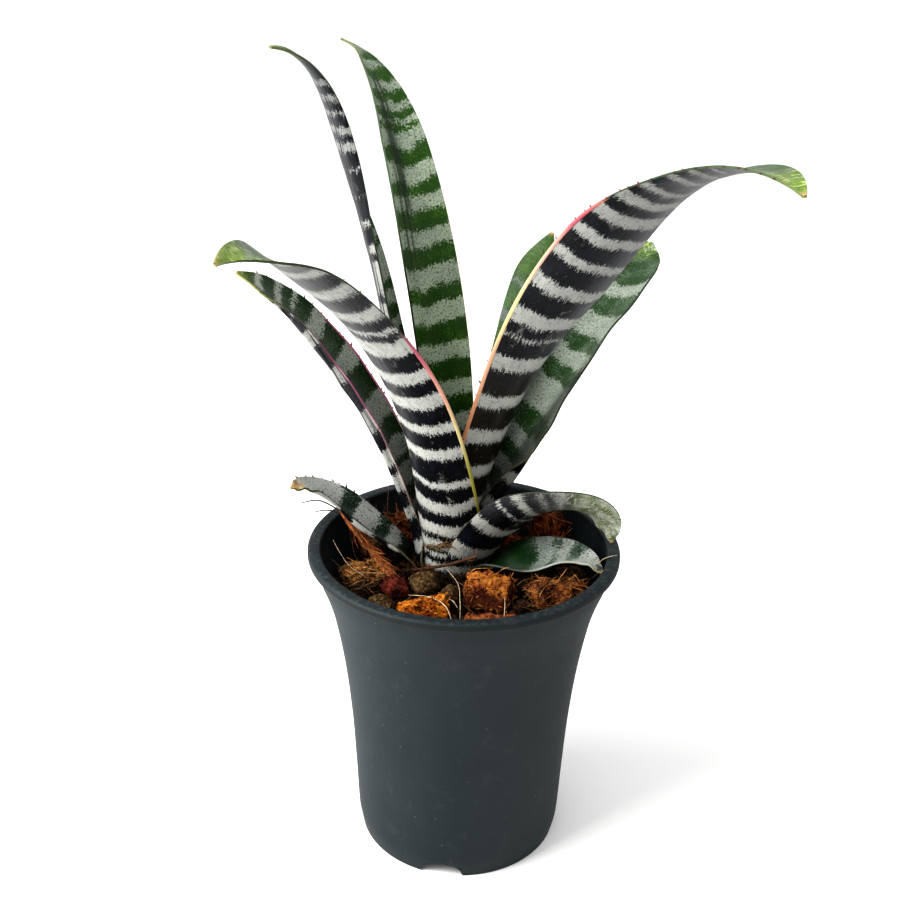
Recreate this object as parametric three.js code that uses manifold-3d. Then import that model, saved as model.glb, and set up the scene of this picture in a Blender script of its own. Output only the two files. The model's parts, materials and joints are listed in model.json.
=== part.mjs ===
// Young banded aechmea in a deep flared nursery pot.
// Units are millimetres and +Z is up. The origin lies on the surface that the pot stands on, under
// the middle of the whole width and depth. Sizes and places below are measured from the pot's axis.
// The plant stands a little behind the middle of the pot, in a loose mix of husk chips and pellets.
import * as THREE from 'three';
import Module from 'manifold-3d';
import { mergeVertices } from 'three/addons/utils/BufferGeometryUtils.js';

const wasm = await Module();
wasm.setup();

// Place of the pot's axis
const POT_X = -4.6;
const POT_Y = 6.2;

// Pot sizes
const POT_HEIGHT = 128.4;
const RIM_RADIUS = 60;
const MOUTH_RADIUS = 55;
const FOOT_RADIUS = 40.3;
const WALL = 1.6;
const LIP_DEPTH = 3.4;
const FLOOR_LEVEL = 7.5;
const FLOOR_THICKNESS = 1.8;
const FOOT_RING = 2.3;
const POT_SIDES = 56;
const NOTCH_WIDTH = 17;
const NOTCH_HEIGHT = 6;
const NOTCH_TURN = -98.6;
const NOTCH_COUNT = 4;
const DRAIN_RADIUS = 5;
const DRAIN_CIRCLE = 24;
const DRAIN_COUNT = 6;

// Outer wall of the pot: radius at parts of the height under the lip
const WALL_HEIGHTS = [0, 0.05, 0.24, 0.43, 0.63, 0.8, 0.88, 0.94, 1];
const WALL_RADII = [FOOT_RADIUS, 41.5, 42.7, 44.1, 46.7, 50.3, 53, 55.7, 57.6];

// Growing mix: its level, the flare round the plant, and the clearance that packed pieces keep
const MIX_LEVEL = 110;
const MIX_RELIEF = 1.6;
const MIX_SIDE_LEVELS = [30, 55, 80, 100];
const GAP = 0.3;
const WALL_GAP = 0.5;
const STEM_HOLE_RADIUS = 17.4;
const STEM_HOLE_FLOOR = 101.8;
const STEM_HOLE_FLARE = 23;
const MIX_RINGS = 6;
const MIX_SPOKES = 32;

// Plant: place of its axis, and how the leaf bases nest round the stem
const PLANT_X = -5.5;
const PLANT_Y = 22;
const SHELL_FIRST = 5.6;
const SHELL_PITCH = 1.3;
const SHEATH_LEVEL = 112;
const SHEATH_STEP = 1;
const SHEATH_SHARE = 0.22;
const SHEATH_CLASP = 78;
const BLADE_THICKNESS = 0.9;
const MARGIN_THICKNESS = 0.65;
const TIP_THICKNESS = 0.6;
const STEM_TIP_RADIUS = 4.4;
const STEM_TIP_LEVEL = 117;
const STEM_SHELLS = 8.5;
const ROOT_RADII = [9, 6.5, 4.5, 2.5];
const ROOT_LEVELS = [96, 88, 78, 72];
const STEM_SIDES = 28;

// Layout of a blade: shares of the half width where its lengthwise lines run, steps worked out
// between two rows, and the narrowest share that the outline may reach
const BLADE_SHARES = [-1, -0.55, 0, 0.55, 1];
const ROW_STEPS = 8;
const NARROWEST = 0.02;

// Margin spines
const SPINE_LENGTH = 1.3;
const SPINE_BASE = 1.6;
const SPINE_LEAN = 0.7;
const SPINE_START = 0.16;
const SPINE_END = 0.94;

// Half width of a blade along its length, as a share of its widest half
const BROAD_OUTLINE = [1.12, 1.08, 1, 0.98, 1, 1, 0.97, 0.9, 0.77, 0.5, 0.04];
const TAPERED_OUTLINE = [1.12, 1.08, 1, 0.98, 1, 1, 0.97, 0.9, 0.75, 0.34, 0.04];
const SLIM_OUTLINE = [1.12, 1.08, 1, 0.98, 0.94, 0.88, 0.8, 0.68, 0.52, 0.3, 0.04];
const SMALL_OUTLINE = [0.9, 0.95, 1, 1.02, 1.04, 1.04, 1, 0.92, 0.78, 0.5, 0.05];

// Half the angle that a channelled blade wraps, in degrees at even steps from base to tip
const OPEN_FOLD = [38, 38, 35, 30, 22, 10];
const DEEP_FOLD = [60, 60, 54, 50, 42, 20];
const SMALL_FOLD = [40, 40, 36, 30, 22, 10];
const ARCHED_FOLD = [45, 42, 38, 30, 24, 10];

// Leaves. Angles are degrees, at even steps from base to tip: rise above the horizontal, turn from
// the side that the base faces, and roll about the midrib. Shell 0 is the innermost base.
const LEAVES = [
  {
    name: 'leaf_tall_back', shell: 0, side: 114, length: 214, width: 24.5, outline: BROAD_OUTLINE,
    rise: [90, 87, 77, 70, 58, 27], turn: [0, 7, 12, 12, 11, 25], roll: [0, 1, 4, -2, -10],
    fold: OPEN_FOLD, rows: 20, colour: '#3d6b3a',
  },
  {
    name: 'leaf_tall_folded', shell: 1, side: 171, length: 226, width: 22, outline: SLIM_OUTLINE,
    rise: [90, 75, 78, 75, 64, 6], turn: [0, 0, 27, 39, 70, 72], roll: [0, 8, 28, 18, 21],
    fold: DEEP_FOLD, rows: 20, colour: '#4a5350',
  },
  {
    name: 'leaf_back_right', shell: 2, side: 54, length: 135, width: 22, outline: BROAD_OUTLINE,
    rise: [90, 76, 69, 67, 64, 50], turn: [0, -8, -12, -12, -6, -2], roll: [0, 18, 28, 22, -6],
    fold: OPEN_FOLD, rows: 16, colour: '#3a6a34',
  },
  {
    name: 'leaf_right_wide', shell: 3, side: 332, length: 252, width: 30, outline: BROAD_OUTLINE,
    rise: [90, 75, 65, 48, 23, -13], turn: [0, 1, 2, -20, -22, -60], roll: [0, 16, 40, 12, -5],
    fold: OPEN_FOLD, rows: 24, colour: '#5b5f5d',
  },
  {
    name: 'leaf_right_curled', shell: 4, side: 17, length: 162, width: 28.5, outline: BROAD_OUTLINE,
    rise: [90, 63, 62, 59, 49, 30, 12], turn: [0, -8, -1, 4, 15, 43, 84], roll: [0, -5, 0, 12, 3],
    fold: OPEN_FOLD, rows: 18, colour: '#58735c',
  },
  {
    name: 'leaf_left_wide', shell: 5, side: 259, length: 218, width: 28.5, outline: TAPERED_OUTLINE,
    rise: [90, 75, 61, 46, 28.5, -1.5], turn: [0, -24, -33, -34, -15, 8], roll: [0, -9, -10, -0.5, 55],
    fold: OPEN_FOLD, rows: 22, colour: '#666a66',
  },
  {
    name: 'leaf_left_upper', shell: 6, side: 161, length: 147, width: 25, outline: BROAD_OUTLINE,
    rise: [90, 70, 63, 57, 49, 30], turn: [0, 2, 12, 22, 41, 63], roll: [0, 7, 13, 27, 41],
    fold: OPEN_FOLD, rows: 16, colour: '#4f6450',
  },
  {
    name: 'leaf_small_arching', shell: 7, side: 308, length: 92, width: 22, outline: BROAD_OUTLINE,
    rise: [90, 60, 45, 16, -29, -89], turn: [0, 11, 24, 41, 68, 94], roll: [0, 37, 47, 41, 35],
    fold: ARCHED_FOLD, rows: 14, colour: '#5f6462',
  },
  {
    name: 'leaf_small_right', shell: 8, side: 327, length: 60.5, width: 17.5, outline: SMALL_OUTLINE,
    rise: [90, 35, 18, 18, 2, -25], turn: [0, -3, 10, 18, 2, -24], roll: [0, -6, -24, -7, 11],
    fold: SMALL_FOLD, rows: 10, colour: '#4e6652',
  },
  {
    name: 'leaf_small_left', shell: 8, side: 200, length: 73, width: 15.5, outline: SMALL_OUTLINE,
    rise: [90, 46, 42, 43, 32, 7], turn: [0, -10, -17, -10, 17, 53], roll: [0, 12, 21, 21, 16],
    fold: SMALL_FOLD, rows: 11, colour: '#566a58',
  },
];

// Husk chips: place of the middle, size before turning, and turns about x, y and z in degrees.
// A point of a chip is drawn in by how many faces meet there: none, one, two or three.
const CHIP_BLUNT = [1, 1.04, 0.93, 0.84];
const CHIP_UNEVEN = 0.16;
const CHIPS = [
  {
    name: 'chip_orange_square', at: [10, -13, 114], size: [18, 11, 15],
    turn: [-35, 4, -6], colour: '#b4591c',
  },
  {
    name: 'chip_orange_bitten', at: [-15, -22.5, 111], size: [19, 12, 9],
    turn: [-18, -6, 12], colour: '#c9661b', bite: 4,
  },
  {
    name: 'chip_flat_front', at: [11, -29, 109.5], size: [20, 9, 7],
    turn: [-10, 3, 4], colour: '#9a4a1e',
  },
  {
    name: 'chip_fibrous_right', at: [36, -12, 112.5], size: [20, 14, 12],
    turn: [-25, 8, 14], colour: '#8d4f26',
  },
  {
    name: 'chip_red_back', at: [34.5, 30.5, 117.5], size: [15, 7, 15],
    turn: [-8, 0, -48], colour: '#7c3416',
  },
  {
    name: 'chip_red_inner', at: [21, 26, 113], size: [10, 8, 9],
    turn: [-20, 10, -15], colour: '#6b2f18',
  },
  {
    name: 'husk_lump_left', at: [-39, 4.6, 109.6], size: [17, 14, 11],
    turn: [-12, -4, 25], colour: '#7d4a22',
  },
  {
    name: 'chip_dark_red', at: [-26, -9, 112], size: [9, 9, 8],
    turn: [15, 10, 30], colour: '#6d2a1a',
  },
  {
    name: 'chip_dark_small', at: [22.5, -18, 110.5], size: [6, 6, 5],
    turn: [10, -12, 40], colour: '#3b2a1e',
  },
  {
    name: 'husk_tuft_back_left', at: [-26.5, 34.5, 115], size: [10, 7, 11],
    turn: [-10, 0, 35], colour: '#6f3c1e',
  },
  {
    name: 'chip_back_middle', at: [-3, 43, 112.5], size: [15, 8, 10],
    turn: [8, 6, 8], colour: '#8a4c22',
  },
  {
    name: 'chip_back_right', at: [14.5, 40, 112], size: [12, 9, 9],
    turn: [12, -8, -24], colour: '#74421f',
  },
  {
    name: 'chip_left_front', at: [-40, -10.5, 110.5], size: [11, 9, 8],
    turn: [-8, 12, 50], colour: '#4a3020',
  },
];

// Fired clay pellets: place of the middle and radius
const PELLET_UNEVEN = 0.14;
const PELLET_FLATNESS = 0.86;
const PELLETS = [
  { at: [-15, -4, 112], radius: 5.8 },
  { at: [-4.8, -11.4, 111.5], radius: 4.2 },
  { at: [-31, -21, 111], radius: 5.6 },
  { at: [43, 3.4, 112], radius: 5 },
  { at: [-16.5, 42.5, 112], radius: 4.8 },
  { at: [-37, 24, 112.5], radius: 5.4 },
  { at: [-2, -39, 109.5], radius: 5.2 },
  { at: [27, -30, 109.5], radius: 5 },
];

// Husk strip leaning on the lip, and a dry root lying against the leaf bases
const STRIP_POINTS = [
  [-48.6, 20.5, 131.5],
  [-43.5, 14.5, 126.5],
  [-38, 8.5, 122],
  [-32, 2, 117.8],
  [-27.5, -3, 114.8],
];
const STRIP_WIDTH = 4.2;
const STRIP_THICKNESS = 1.8;
const ROOT_POINTS = [[-26, 7.6, 110.4], [-20.5, 5.6, 112.6], [-14, 3.6, 114.6], [-5, 2.2, 117.5], [5, 2.5, 121]];
const ROOT_THICKNESS = 1.8;

// Value at t (0 to 1) of a smooth curve through evenly spaced values
function along(values, t) {
  const last = values.length - 1;
  const place = Math.min(Math.max(t, 0), 1) * last;
  const i = Math.min(Math.floor(place), last - 1);
  const f = place - i;
  const before = i > 0 ? values[i - 1] : 2 * values[0] - values[1];
  const after = i + 2 <= last ? values[i + 2] : 2 * values[last] - values[last - 1];
  const a = values[i];
  const b = values[i + 1];
  const square = 2 * before - 5 * a + 4 * b - after;
  const cube = 3 * (a - b) + after - before;
  return a + 0.5 * f * (b - before + f * (square + f * cube));
}

const radians = THREE.MathUtils.degToRad;

// Midrib of a leaf: place, direction, upper side and right-hand side at even steps
function midrib(leaf, steps) {
  const radius = SHELL_FIRST + SHELL_PITCH * leaf.shell;
  const side = radians(leaf.side);
  const place = new THREE.Vector3(
    PLANT_X + radius * Math.cos(side),
    PLANT_Y + radius * Math.sin(side),
    SHEATH_LEVEL - SHEATH_STEP * leaf.shell,
  );
  const stations = [];
  let previous = null;
  for (let i = 0; i <= steps; i += 1) {
    const t = i / steps;
    const rise = radians(along(leaf.rise, t));
    const heading = side + radians(along(leaf.turn, t));
    const roll = radians(along(leaf.roll, t));
    const forward = new THREE.Vector3(
      Math.cos(rise) * Math.cos(heading),
      Math.cos(rise) * Math.sin(heading),
      Math.sin(rise),
    );
    const level = new THREE.Vector3(Math.sin(heading), -Math.cos(heading), 0);
    const upper = new THREE.Vector3().crossVectors(level, forward);
    const right = level.clone().multiplyScalar(Math.cos(roll)).addScaledVector(upper, Math.sin(roll));
    upper.multiplyScalar(Math.cos(roll)).addScaledVector(level, -Math.sin(roll));
    if (previous) {
      place.addScaledVector(previous.clone().add(forward), leaf.length / steps / 2);
    }
    previous = forward;
    stations.push({ t, place: place.clone(), forward, upper, right, radius });
  }
  return stations;
}

// Point of the channelled blade at a share (-1 to 1) of its half width, with its normal
function bladePoint(leaf, station, share) {
  const full = 0.5 * leaf.width * Math.max(along(leaf.outline, station.t), NARROWEST);
  const ease = THREE.MathUtils.smoothstep(1 - station.t / SHEATH_SHARE, 0, 1);
  const half = THREE.MathUtils.lerp(full, Math.min(full, radians(SHEATH_CLASP) * station.radius), ease);
  const clasp = half / station.radius;
  const wrap = clasp * ease + radians(along(leaf.fold, station.t)) * (1 - ease);
  const bend = half / wrap;
  const angle = share * wrap;
  const point = station.place.clone()
    .addScaledVector(station.right, bend * Math.sin(angle))
    .addScaledVector(station.upper, bend * (1 - Math.cos(angle)));
  const normal = station.upper.clone().multiplyScalar(Math.cos(angle))
    .addScaledVector(station.right, -Math.sin(angle));
  return { point, normal };
}

// Thickness at a share of the half width
function bladeThickness(station, share) {
  const middle = THREE.MathUtils.lerp(BLADE_THICKNESS, TIP_THICKNESS, station.t ** 2);
  return THREE.MathUtils.lerp(middle, Math.min(middle, MARGIN_THICKNESS), share * share);
}

// Leaf as one closed shell: both faces share one layout of triangles, spines stand in the margin
function leafGeometry(leaf) {
  const stations = midrib(leaf, leaf.rows * ROW_STEPS);
  const upperPoints = [];
  const lowerPoints = [];
  const addPoint = (station, share, outward = 0, thin = 1) => {
    const { point, normal } = bladePoint(leaf, station, share);
    if (outward > 0) {
      const nearby = bladePoint(leaf, station, share * 0.9).point;
      point.add(point.clone().sub(nearby).normalize().multiplyScalar(outward));
    }
    const half = 0.5 * thin * bladeThickness(station, share);
    upperPoints.push(point.clone().addScaledVector(normal, half));
    lowerPoints.push(point.clone().addScaledVector(normal, -half));
    return upperPoints.length - 1;
  };
  const rows = [];
  for (let r = 0; r <= leaf.rows; r += 1) {
    const station = stations[r * ROW_STEPS];
    rows.push(BLADE_SHARES.map((share) => addPoint(station, share)));
  }
  const faces = [];
  const rims = { 1: [rows[0][BLADE_SHARES.length - 1]], '-1': [rows[0][0]] };
  const strips = BLADE_SHARES.length - 1;
  const stepLength = leaf.length / (leaf.rows * ROW_STEPS);
  for (let r = 0; r < leaf.rows; r += 1) {
    const here = rows[r];
    const next = rows[r + 1];
    for (let c = 1; c < strips - 1; c += 1) {
      faces.push([here[c], here[c + 1], next[c + 1]], [here[c], next[c + 1], next[c]]);
    }
    const middle = (r + 0.5) / leaf.rows;
    const spined = middle > SPINE_START && middle < SPINE_END;
    for (const edge of [1, -1]) {
      const inner = edge > 0 ? [here[strips - 1], next[strips - 1]] : [here[1], next[1]];
      const outer = edge > 0 ? [here[strips], next[strips]] : [here[0], next[0]];
      const fan = [outer[0]];
      if (spined) {
        const centre = r * ROW_STEPS + ROW_STEPS / 2;
        const spread = Math.max(1, Math.round(SPINE_BASE / 2 / stepLength));
        const lean = Math.round(SPINE_LEAN / stepLength);
        const start = addPoint(stations[centre - spread], edge);
        const tip = addPoint(stations[centre + lean], edge, SPINE_LENGTH, 0.5);
        const end = addPoint(stations[centre + spread], edge);
        fan.push(start, tip, end);
        const spine = edge > 0 ? [start, tip, end] : [start, end, tip];
        faces.push(spine);
        const strip = [
          [inner[0], outer[0], start],
          [inner[0], start, inner[1]],
          [inner[1], start, end],
          [inner[1], end, outer[1]],
        ];
        for (const [a, b, c] of strip) {
          faces.push(edge > 0 ? [a, b, c] : [a, c, b]);
        }
      } else if (edge > 0) {
        faces.push([inner[0], outer[0], outer[1]], [inner[0], outer[1], inner[1]]);
      } else {
        faces.push([inner[0], outer[1], outer[0]], [inner[0], inner[1], outer[1]]);
      }
      fan.push(outer[1]);
      rims[edge].push(...fan.slice(1));
    }
  }
  const count = upperPoints.length;
  const triangles = [];
  for (const [a, b, c] of faces) {
    triangles.push(a, b, c, count + a, count + c, count + b);
  }
  const loop = [...rows[0], ...rims[1].slice(1), ...[...rows[leaf.rows]].reverse().slice(1)];
  loop.push(...[...rims['-1']].reverse().slice(1, -1));
  for (let i = 0; i < loop.length; i += 1) {
    const a = loop[i];
    const b = loop[(i + 1) % loop.length];
    triangles.push(a, count + a, b, b, count + a, count + b);
  }
  const positions = [...upperPoints, ...lowerPoints].flatMap((p) => [p.x, p.y, p.z]);
  const geometry = new THREE.BufferGeometry();
  geometry.setAttribute('position', new THREE.Float32BufferAttribute(positions, 3));
  geometry.setIndex(triangles);
  return geometry;
}

// Seeded random numbers from 0 to 1
function randomFrom(seed) {
  let state = seed;
  return () => {
    state = (Math.imul(state, 1664525) + 1013904223) >>> 0;
    return state / 4294967296;
  };
}

// Geometry with shared vertices only, no empty triangles, and its faces pointing out
function closedGeometry(source) {
  let geometry = source.clone();
  for (const name of Object.keys(geometry.attributes)) {
    if (name !== 'position') {
      geometry.deleteAttribute(name);
    }
  }
  geometry = mergeVertices(geometry, 1e-4);
  const index = geometry.index.array;
  const kept = [];
  for (let i = 0; i < index.length; i += 3) {
    const [a, b, c] = [index[i], index[i + 1], index[i + 2]];
    if (a !== b && b !== c && c !== a) {
      kept.push(a, b, c);
    }
  }
  geometry.setIndex(kept);
  if (signedVolume(geometry) < 0) {
    for (let i = 0; i < kept.length; i += 3) {
      [kept[i + 1], kept[i + 2]] = [kept[i + 2], kept[i + 1]];
    }
    geometry.setIndex(kept);
  }
  return geometry;
}

// Volume inside a closed geometry, below zero where its faces point in
function signedVolume(geometry) {
  const position = geometry.attributes.position;
  const index = geometry.index.array;
  const corners = [new THREE.Vector3(), new THREE.Vector3(), new THREE.Vector3()];
  let sum = 0;
  for (let i = 0; i < index.length; i += 3) {
    corners.forEach((corner, k) => corner.fromBufferAttribute(position, index[i + k]));
    sum += corners[0].dot(corners[1].clone().cross(corners[2])) / 6;
  }
  return sum;
}

// Solid for cutting and joining, from a closed geometry
function solidOf(geometry) {
  const closed = closedGeometry(geometry);
  return new wasm.Manifold(new wasm.Mesh({
    numProp: 3,
    vertProperties: new Float32Array(closed.attributes.position.array),
    triVerts: new Uint32Array(closed.index.array),
  }));
}

// Geometry of a cut or joined solid
function geometryOf(solid) {
  const mesh = solid.getMesh();
  const geometry = new THREE.BufferGeometry();
  geometry.setAttribute('position', new THREE.Float32BufferAttribute(mesh.vertProperties, 3));
  geometry.setIndex(Array.from(mesh.triVerts));
  return geometry;
}

// Turned shape about the z axis from [radius, level] pairs
function turned(profile, sides) {
  const points = profile.map(([radius, level]) => new THREE.Vector2(Math.max(radius, 0), level));
  return new THREE.LatheGeometry(points, sides).rotateX(Math.PI / 2).scale(1, -1, 1);
}

// Radius of the pot's outer wall at a level
function wallRadius(level) {
  const share = level / (POT_HEIGHT - LIP_DEPTH);
  let i = 1;
  while (i < WALL_HEIGHTS.length - 1 && WALL_HEIGHTS[i] < share) {
    i += 1;
  }
  const span = WALL_HEIGHTS[i] - WALL_HEIGHTS[i - 1];
  const part = (share - WALL_HEIGHTS[i - 1]) / span;
  return THREE.MathUtils.lerp(WALL_RADII[i - 1], WALL_RADII[i], part);
}

// Radius of the pot's inner wall at a level
function innerRadius(level) {
  return Math.min(wallRadius(level) - WALL, MOUTH_RADIUS);
}

// Flared shell with a lip, a raised floor with drain holes, and a notched foot ring
function potGeometry() {
  const lipFoot = POT_HEIGHT - LIP_DEPTH;
  const floorTop = FLOOR_LEVEL + FLOOR_THICKNESS;
  const outer = WALL_HEIGHTS.map((share, i) => [WALL_RADII[i], share * lipFoot]);
  const lip = [
    [RIM_RADIUS - 0.6, lipFoot + 0.3],
    [RIM_RADIUS, lipFoot + 1.2],
    [RIM_RADIUS, POT_HEIGHT - 1],
    [RIM_RADIUS - 0.8, POT_HEIGHT],
    [MOUTH_RADIUS + 0.7, POT_HEIGHT],
    [MOUTH_RADIUS, POT_HEIGHT - 0.8],
  ];
  const inner = [lipFoot - 2, 0.88 * lipFoot, 0.63 * lipFoot, 0.3 * lipFoot, floorTop]
    .map((level) => [innerRadius(level), level]);
  const footInside = FOOT_RADIUS - FOOT_RING;
  const profile = [
    [0, FLOOR_LEVEL], [footInside, FLOOR_LEVEL], [footInside, 0],
    ...outer, ...lip, ...inner, [0, floorTop],
  ];
  let pot = solidOf(turned(profile, POT_SIDES));
  for (let i = 0; i < NOTCH_COUNT; i += 1) {
    pot = pot.subtract(solidOf(notchGeometry(NOTCH_TURN + (i * 360) / NOTCH_COUNT)));
  }
  pot = pot.subtract(solidOf(drainGeometry(0, 0)));
  for (let i = 0; i < DRAIN_COUNT; i += 1) {
    pot = pot.subtract(solidOf(drainGeometry(DRAIN_CIRCLE, (i * 2 * Math.PI) / DRAIN_COUNT)));
  }
  return geometryOf(pot);
}

// Arch-shaped cutter through the foot ring, on the side that turn (degrees) gives
function notchGeometry(turn) {
  const shape = new THREE.Shape();
  shape.moveTo(-NOTCH_WIDTH / 2, -1);
  shape.lineTo(NOTCH_WIDTH / 2, -1);
  shape.lineTo(NOTCH_WIDTH / 2, 0);
  shape.absellipse(0, 0, NOTCH_WIDTH / 2, NOTCH_HEIGHT, 0, Math.PI, false);
  shape.lineTo(-NOTCH_WIDTH / 2, -1);
  const reach = 20;
  return new THREE.ExtrudeGeometry(shape, { depth: reach, bevelEnabled: false, curveSegments: 7 })
    .rotateX(Math.PI / 2)
    .translate(0, -(FOOT_RADIUS - reach / 2), 0)
    .rotateZ(radians(turn + 90));
}

// Cutter for a drain hole in the floor
function drainGeometry(distance, angle) {
  return new THREE.CylinderGeometry(DRAIN_RADIUS, DRAIN_RADIUS, 3 * FLOOR_THICKNESS, 12)
    .rotateX(Math.PI / 2)
    .translate(distance * Math.cos(angle), distance * Math.sin(angle), FLOOR_LEVEL + FLOOR_THICKNESS / 2);
}

// Stem with its root stub, a cone under the leaf bases, grown outwards by extra
function stemGeometry(extra) {
  const under = SHELL_PITCH / 2 + GAP;
  const coneTop = SHEATH_LEVEL - under;
  const coneReach = SHELL_FIRST + STEM_SHELLS * SHELL_PITCH;
  const coneFoot = SHEATH_LEVEL - STEM_SHELLS * SHEATH_STEP - under;
  const roots = ROOT_RADII.map((radius, i) => [radius + extra, ROOT_LEVELS[i]]);
  const end = ROOT_LEVELS[ROOT_LEVELS.length - 1] - extra;
  roots[roots.length - 1][1] = end;
  const profile = [
    [0, STEM_TIP_LEVEL + extra],
    [STEM_TIP_RADIUS - 1.2 + extra, STEM_TIP_LEVEL + extra],
    [STEM_TIP_RADIUS + extra, STEM_TIP_LEVEL - 1.5 + extra],
    [STEM_TIP_RADIUS + extra, coneTop + extra],
    [coneReach + extra, coneFoot + extra],
    [coneReach - 1.5 + extra, coneFoot - 3],
    ...roots,
    [0, end],
  ];
  return turned(profile, STEM_SIDES).translate(PLANT_X, PLANT_Y, 0);
}

// Body with a bumpy upper side that fills the pot below the loose pieces
function mixGeometry() {
  const random = randomFrom(11);
  const floor = FLOOR_LEVEL + FLOOR_THICKNESS + GAP;
  const points = [];
  const faces = [];
  const addRing = (radius, level, relief) => {
    const first = points.length / 3;
    for (let i = 0; i < MIX_SPOKES; i += 1) {
      const angle = (i * 2 * Math.PI) / MIX_SPOKES;
      const bump = relief * (2 * random() - 1);
      points.push(radius * Math.cos(angle), radius * Math.sin(angle), level + bump);
    }
    return first;
  };
  const rings = [];
  for (const level of [floor, ...MIX_SIDE_LEVELS]) {
    rings.push(addRing(innerRadius(level) - WALL_GAP, level, 0));
  }
  for (let r = 0; r < MIX_RINGS; r += 1) {
    const share = 1 - r / MIX_RINGS;
    const edge = r === 0 ? 0 : MIX_RELIEF;
    rings.push(addRing((innerRadius(MIX_LEVEL) - WALL_GAP) * share, MIX_LEVEL, edge));
  }
  const top = points.length / 3;
  points.push(0, 0, MIX_LEVEL, 0, 0, floor);
  for (let i = 0; i < MIX_SPOKES; i += 1) {
    const j = (i + 1) % MIX_SPOKES;
    for (let r = 0; r + 1 < rings.length; r += 1) {
      const [low, high] = [rings[r], rings[r + 1]];
      faces.push(low + i, low + j, high + j, low + i, high + j, high + i);
    }
    const inmost = rings[rings.length - 1];
    faces.push(inmost + i, inmost + j, top);
    faces.push(rings[0] + j, rings[0] + i, top + 1);
  }
  const geometry = new THREE.BufferGeometry();
  geometry.setAttribute('position', new THREE.Float32BufferAttribute(points, 3));
  geometry.setIndex(faces);
  const flare = turned([
    [0, STEM_HOLE_FLOOR],
    [STEM_HOLE_RADIUS, STEM_HOLE_FLOOR],
    [STEM_HOLE_RADIUS, MIX_LEVEL - 5],
    [STEM_HOLE_FLARE, MIX_LEVEL + 2],
    [STEM_HOLE_FLARE, MIX_LEVEL + 6],
    [0, MIX_LEVEL + 6],
  ], STEM_SIDES).translate(PLANT_X, PLANT_Y, 0);
  let mix = solidOf(geometry).subtract(solidOf(flare)).subtract(solidOf(stemGeometry(GAP)));
  for (const chip of CHIPS) {
    mix = mix.subtract(solidOf(chipGeometry(chip, GAP)));
  }
  for (const [i, pellet] of PELLETS.entries()) {
    mix = mix.subtract(solidOf(pelletGeometry(pellet, i, GAP)));
  }
  mix = mix.subtract(solidOf(stripGeometry(GAP))).subtract(solidOf(rootGeometry(GAP)));
  return geometryOf(mix);
}

// Block with blunt corners and uneven faces, grown outwards by extra
function chipGeometry(chip, extra = 0) {
  const random = randomFrom(Math.round(chip.size[0] * 31 + chip.at[0] * 7 + 997));
  const [width, depth, height] = chip.size;
  const block = closedGeometry(new THREE.BoxGeometry(1, 1, 1, 2, 2, 2));
  const position = block.attributes.position;
  const point = new THREE.Vector3();
  for (let i = 0; i < position.count; i += 1) {
    point.fromBufferAttribute(position, i);
    const edges = [point.x, point.y, point.z].filter((value) => Math.abs(value) > 0.4).length;
    const blunt = CHIP_BLUNT[edges];
    const uneven = () => 1 + CHIP_UNEVEN * (random() - 0.5);
    point.set(point.x * blunt * uneven(), point.y * blunt * uneven(), point.z * blunt * uneven());
    position.setXYZ(i, point.x, point.y, point.z);
  }
  block.scale(width + 2 * extra, depth + 2 * extra, height + 2 * extra);
  let geometry = block;
  if (chip.bite) {
    const bite = new THREE.IcosahedronGeometry(chip.bite - extra, 1).translate(0, -depth / 2, height / 3);
    geometry = geometryOf(solidOf(block).subtract(solidOf(bite)));
  }
  const turn = new THREE.Euler(...chip.turn.map(radians), 'ZYX');
  return geometry
    .applyMatrix4(new THREE.Matrix4().makeRotationFromEuler(turn))
    .translate(...chip.at);
}

// Uneven ball, a little flat, grown outwards by extra
function pelletGeometry(pellet, number, extra = 0) {
  const random = randomFrom(101 + 17 * number);
  const ball = closedGeometry(new THREE.IcosahedronGeometry(1, 1));
  const position = ball.attributes.position;
  for (let i = 0; i < position.count; i += 1) {
    const size = (pellet.radius + extra) * (1 + PELLET_UNEVEN * (random() - 0.5));
    const [x, y, z] = [position.getX(i), position.getY(i), position.getZ(i)];
    position.setXYZ(i, x * size, y * size * 0.94, z * size * PELLET_FLATNESS);
  }
  return ball.translate(...pellet.at);
}

// Solid of an even section along a smooth line through points, made longer at both ends by extra
function sweptGeometry(section, pointList, steps, extra) {
  const points = pointList.map((p) => new THREE.Vector3(...p));
  const [first, last] = [points[0], points[points.length - 1]];
  const backward = first.clone().sub(points[1]).setLength(extra);
  const onward = last.clone().sub(points[points.length - 2]).setLength(extra);
  first.add(backward);
  last.add(onward);
  const curve = new THREE.CatmullRomCurve3(points);
  return new THREE.ExtrudeGeometry(section, { steps, extrudePath: curve, curveSegments: 4 });
}

// Flat strip of husk
function stripGeometry(extra = 0) {
  const section = new THREE.Shape();
  section.absellipse(0, 0, STRIP_WIDTH / 2 + extra, STRIP_THICKNESS / 2 + extra, 0, 2 * Math.PI, false);
  return sweptGeometry(section, STRIP_POINTS, 9, extra);
}

// Round dry root
function rootGeometry(extra = 0) {
  const section = new THREE.Shape();
  section.absarc(0, 0, ROOT_THICKNESS / 2 + extra, 0, 2 * Math.PI, false);
  return sweptGeometry(section, ROOT_POINTS, 10, extra);
}

const pottedPlant = new THREE.Group();
pottedPlant.position.set(POT_X, POT_Y, 0);

function addPiece(name, geometry, colour, roughness) {
  const material = new THREE.MeshStandardMaterial({ color: colour, roughness, metalness: 0 });
  const mesh = new THREE.Mesh(closedGeometry(geometry), material);
  mesh.name = name;
  pottedPlant.add(mesh);
}

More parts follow.
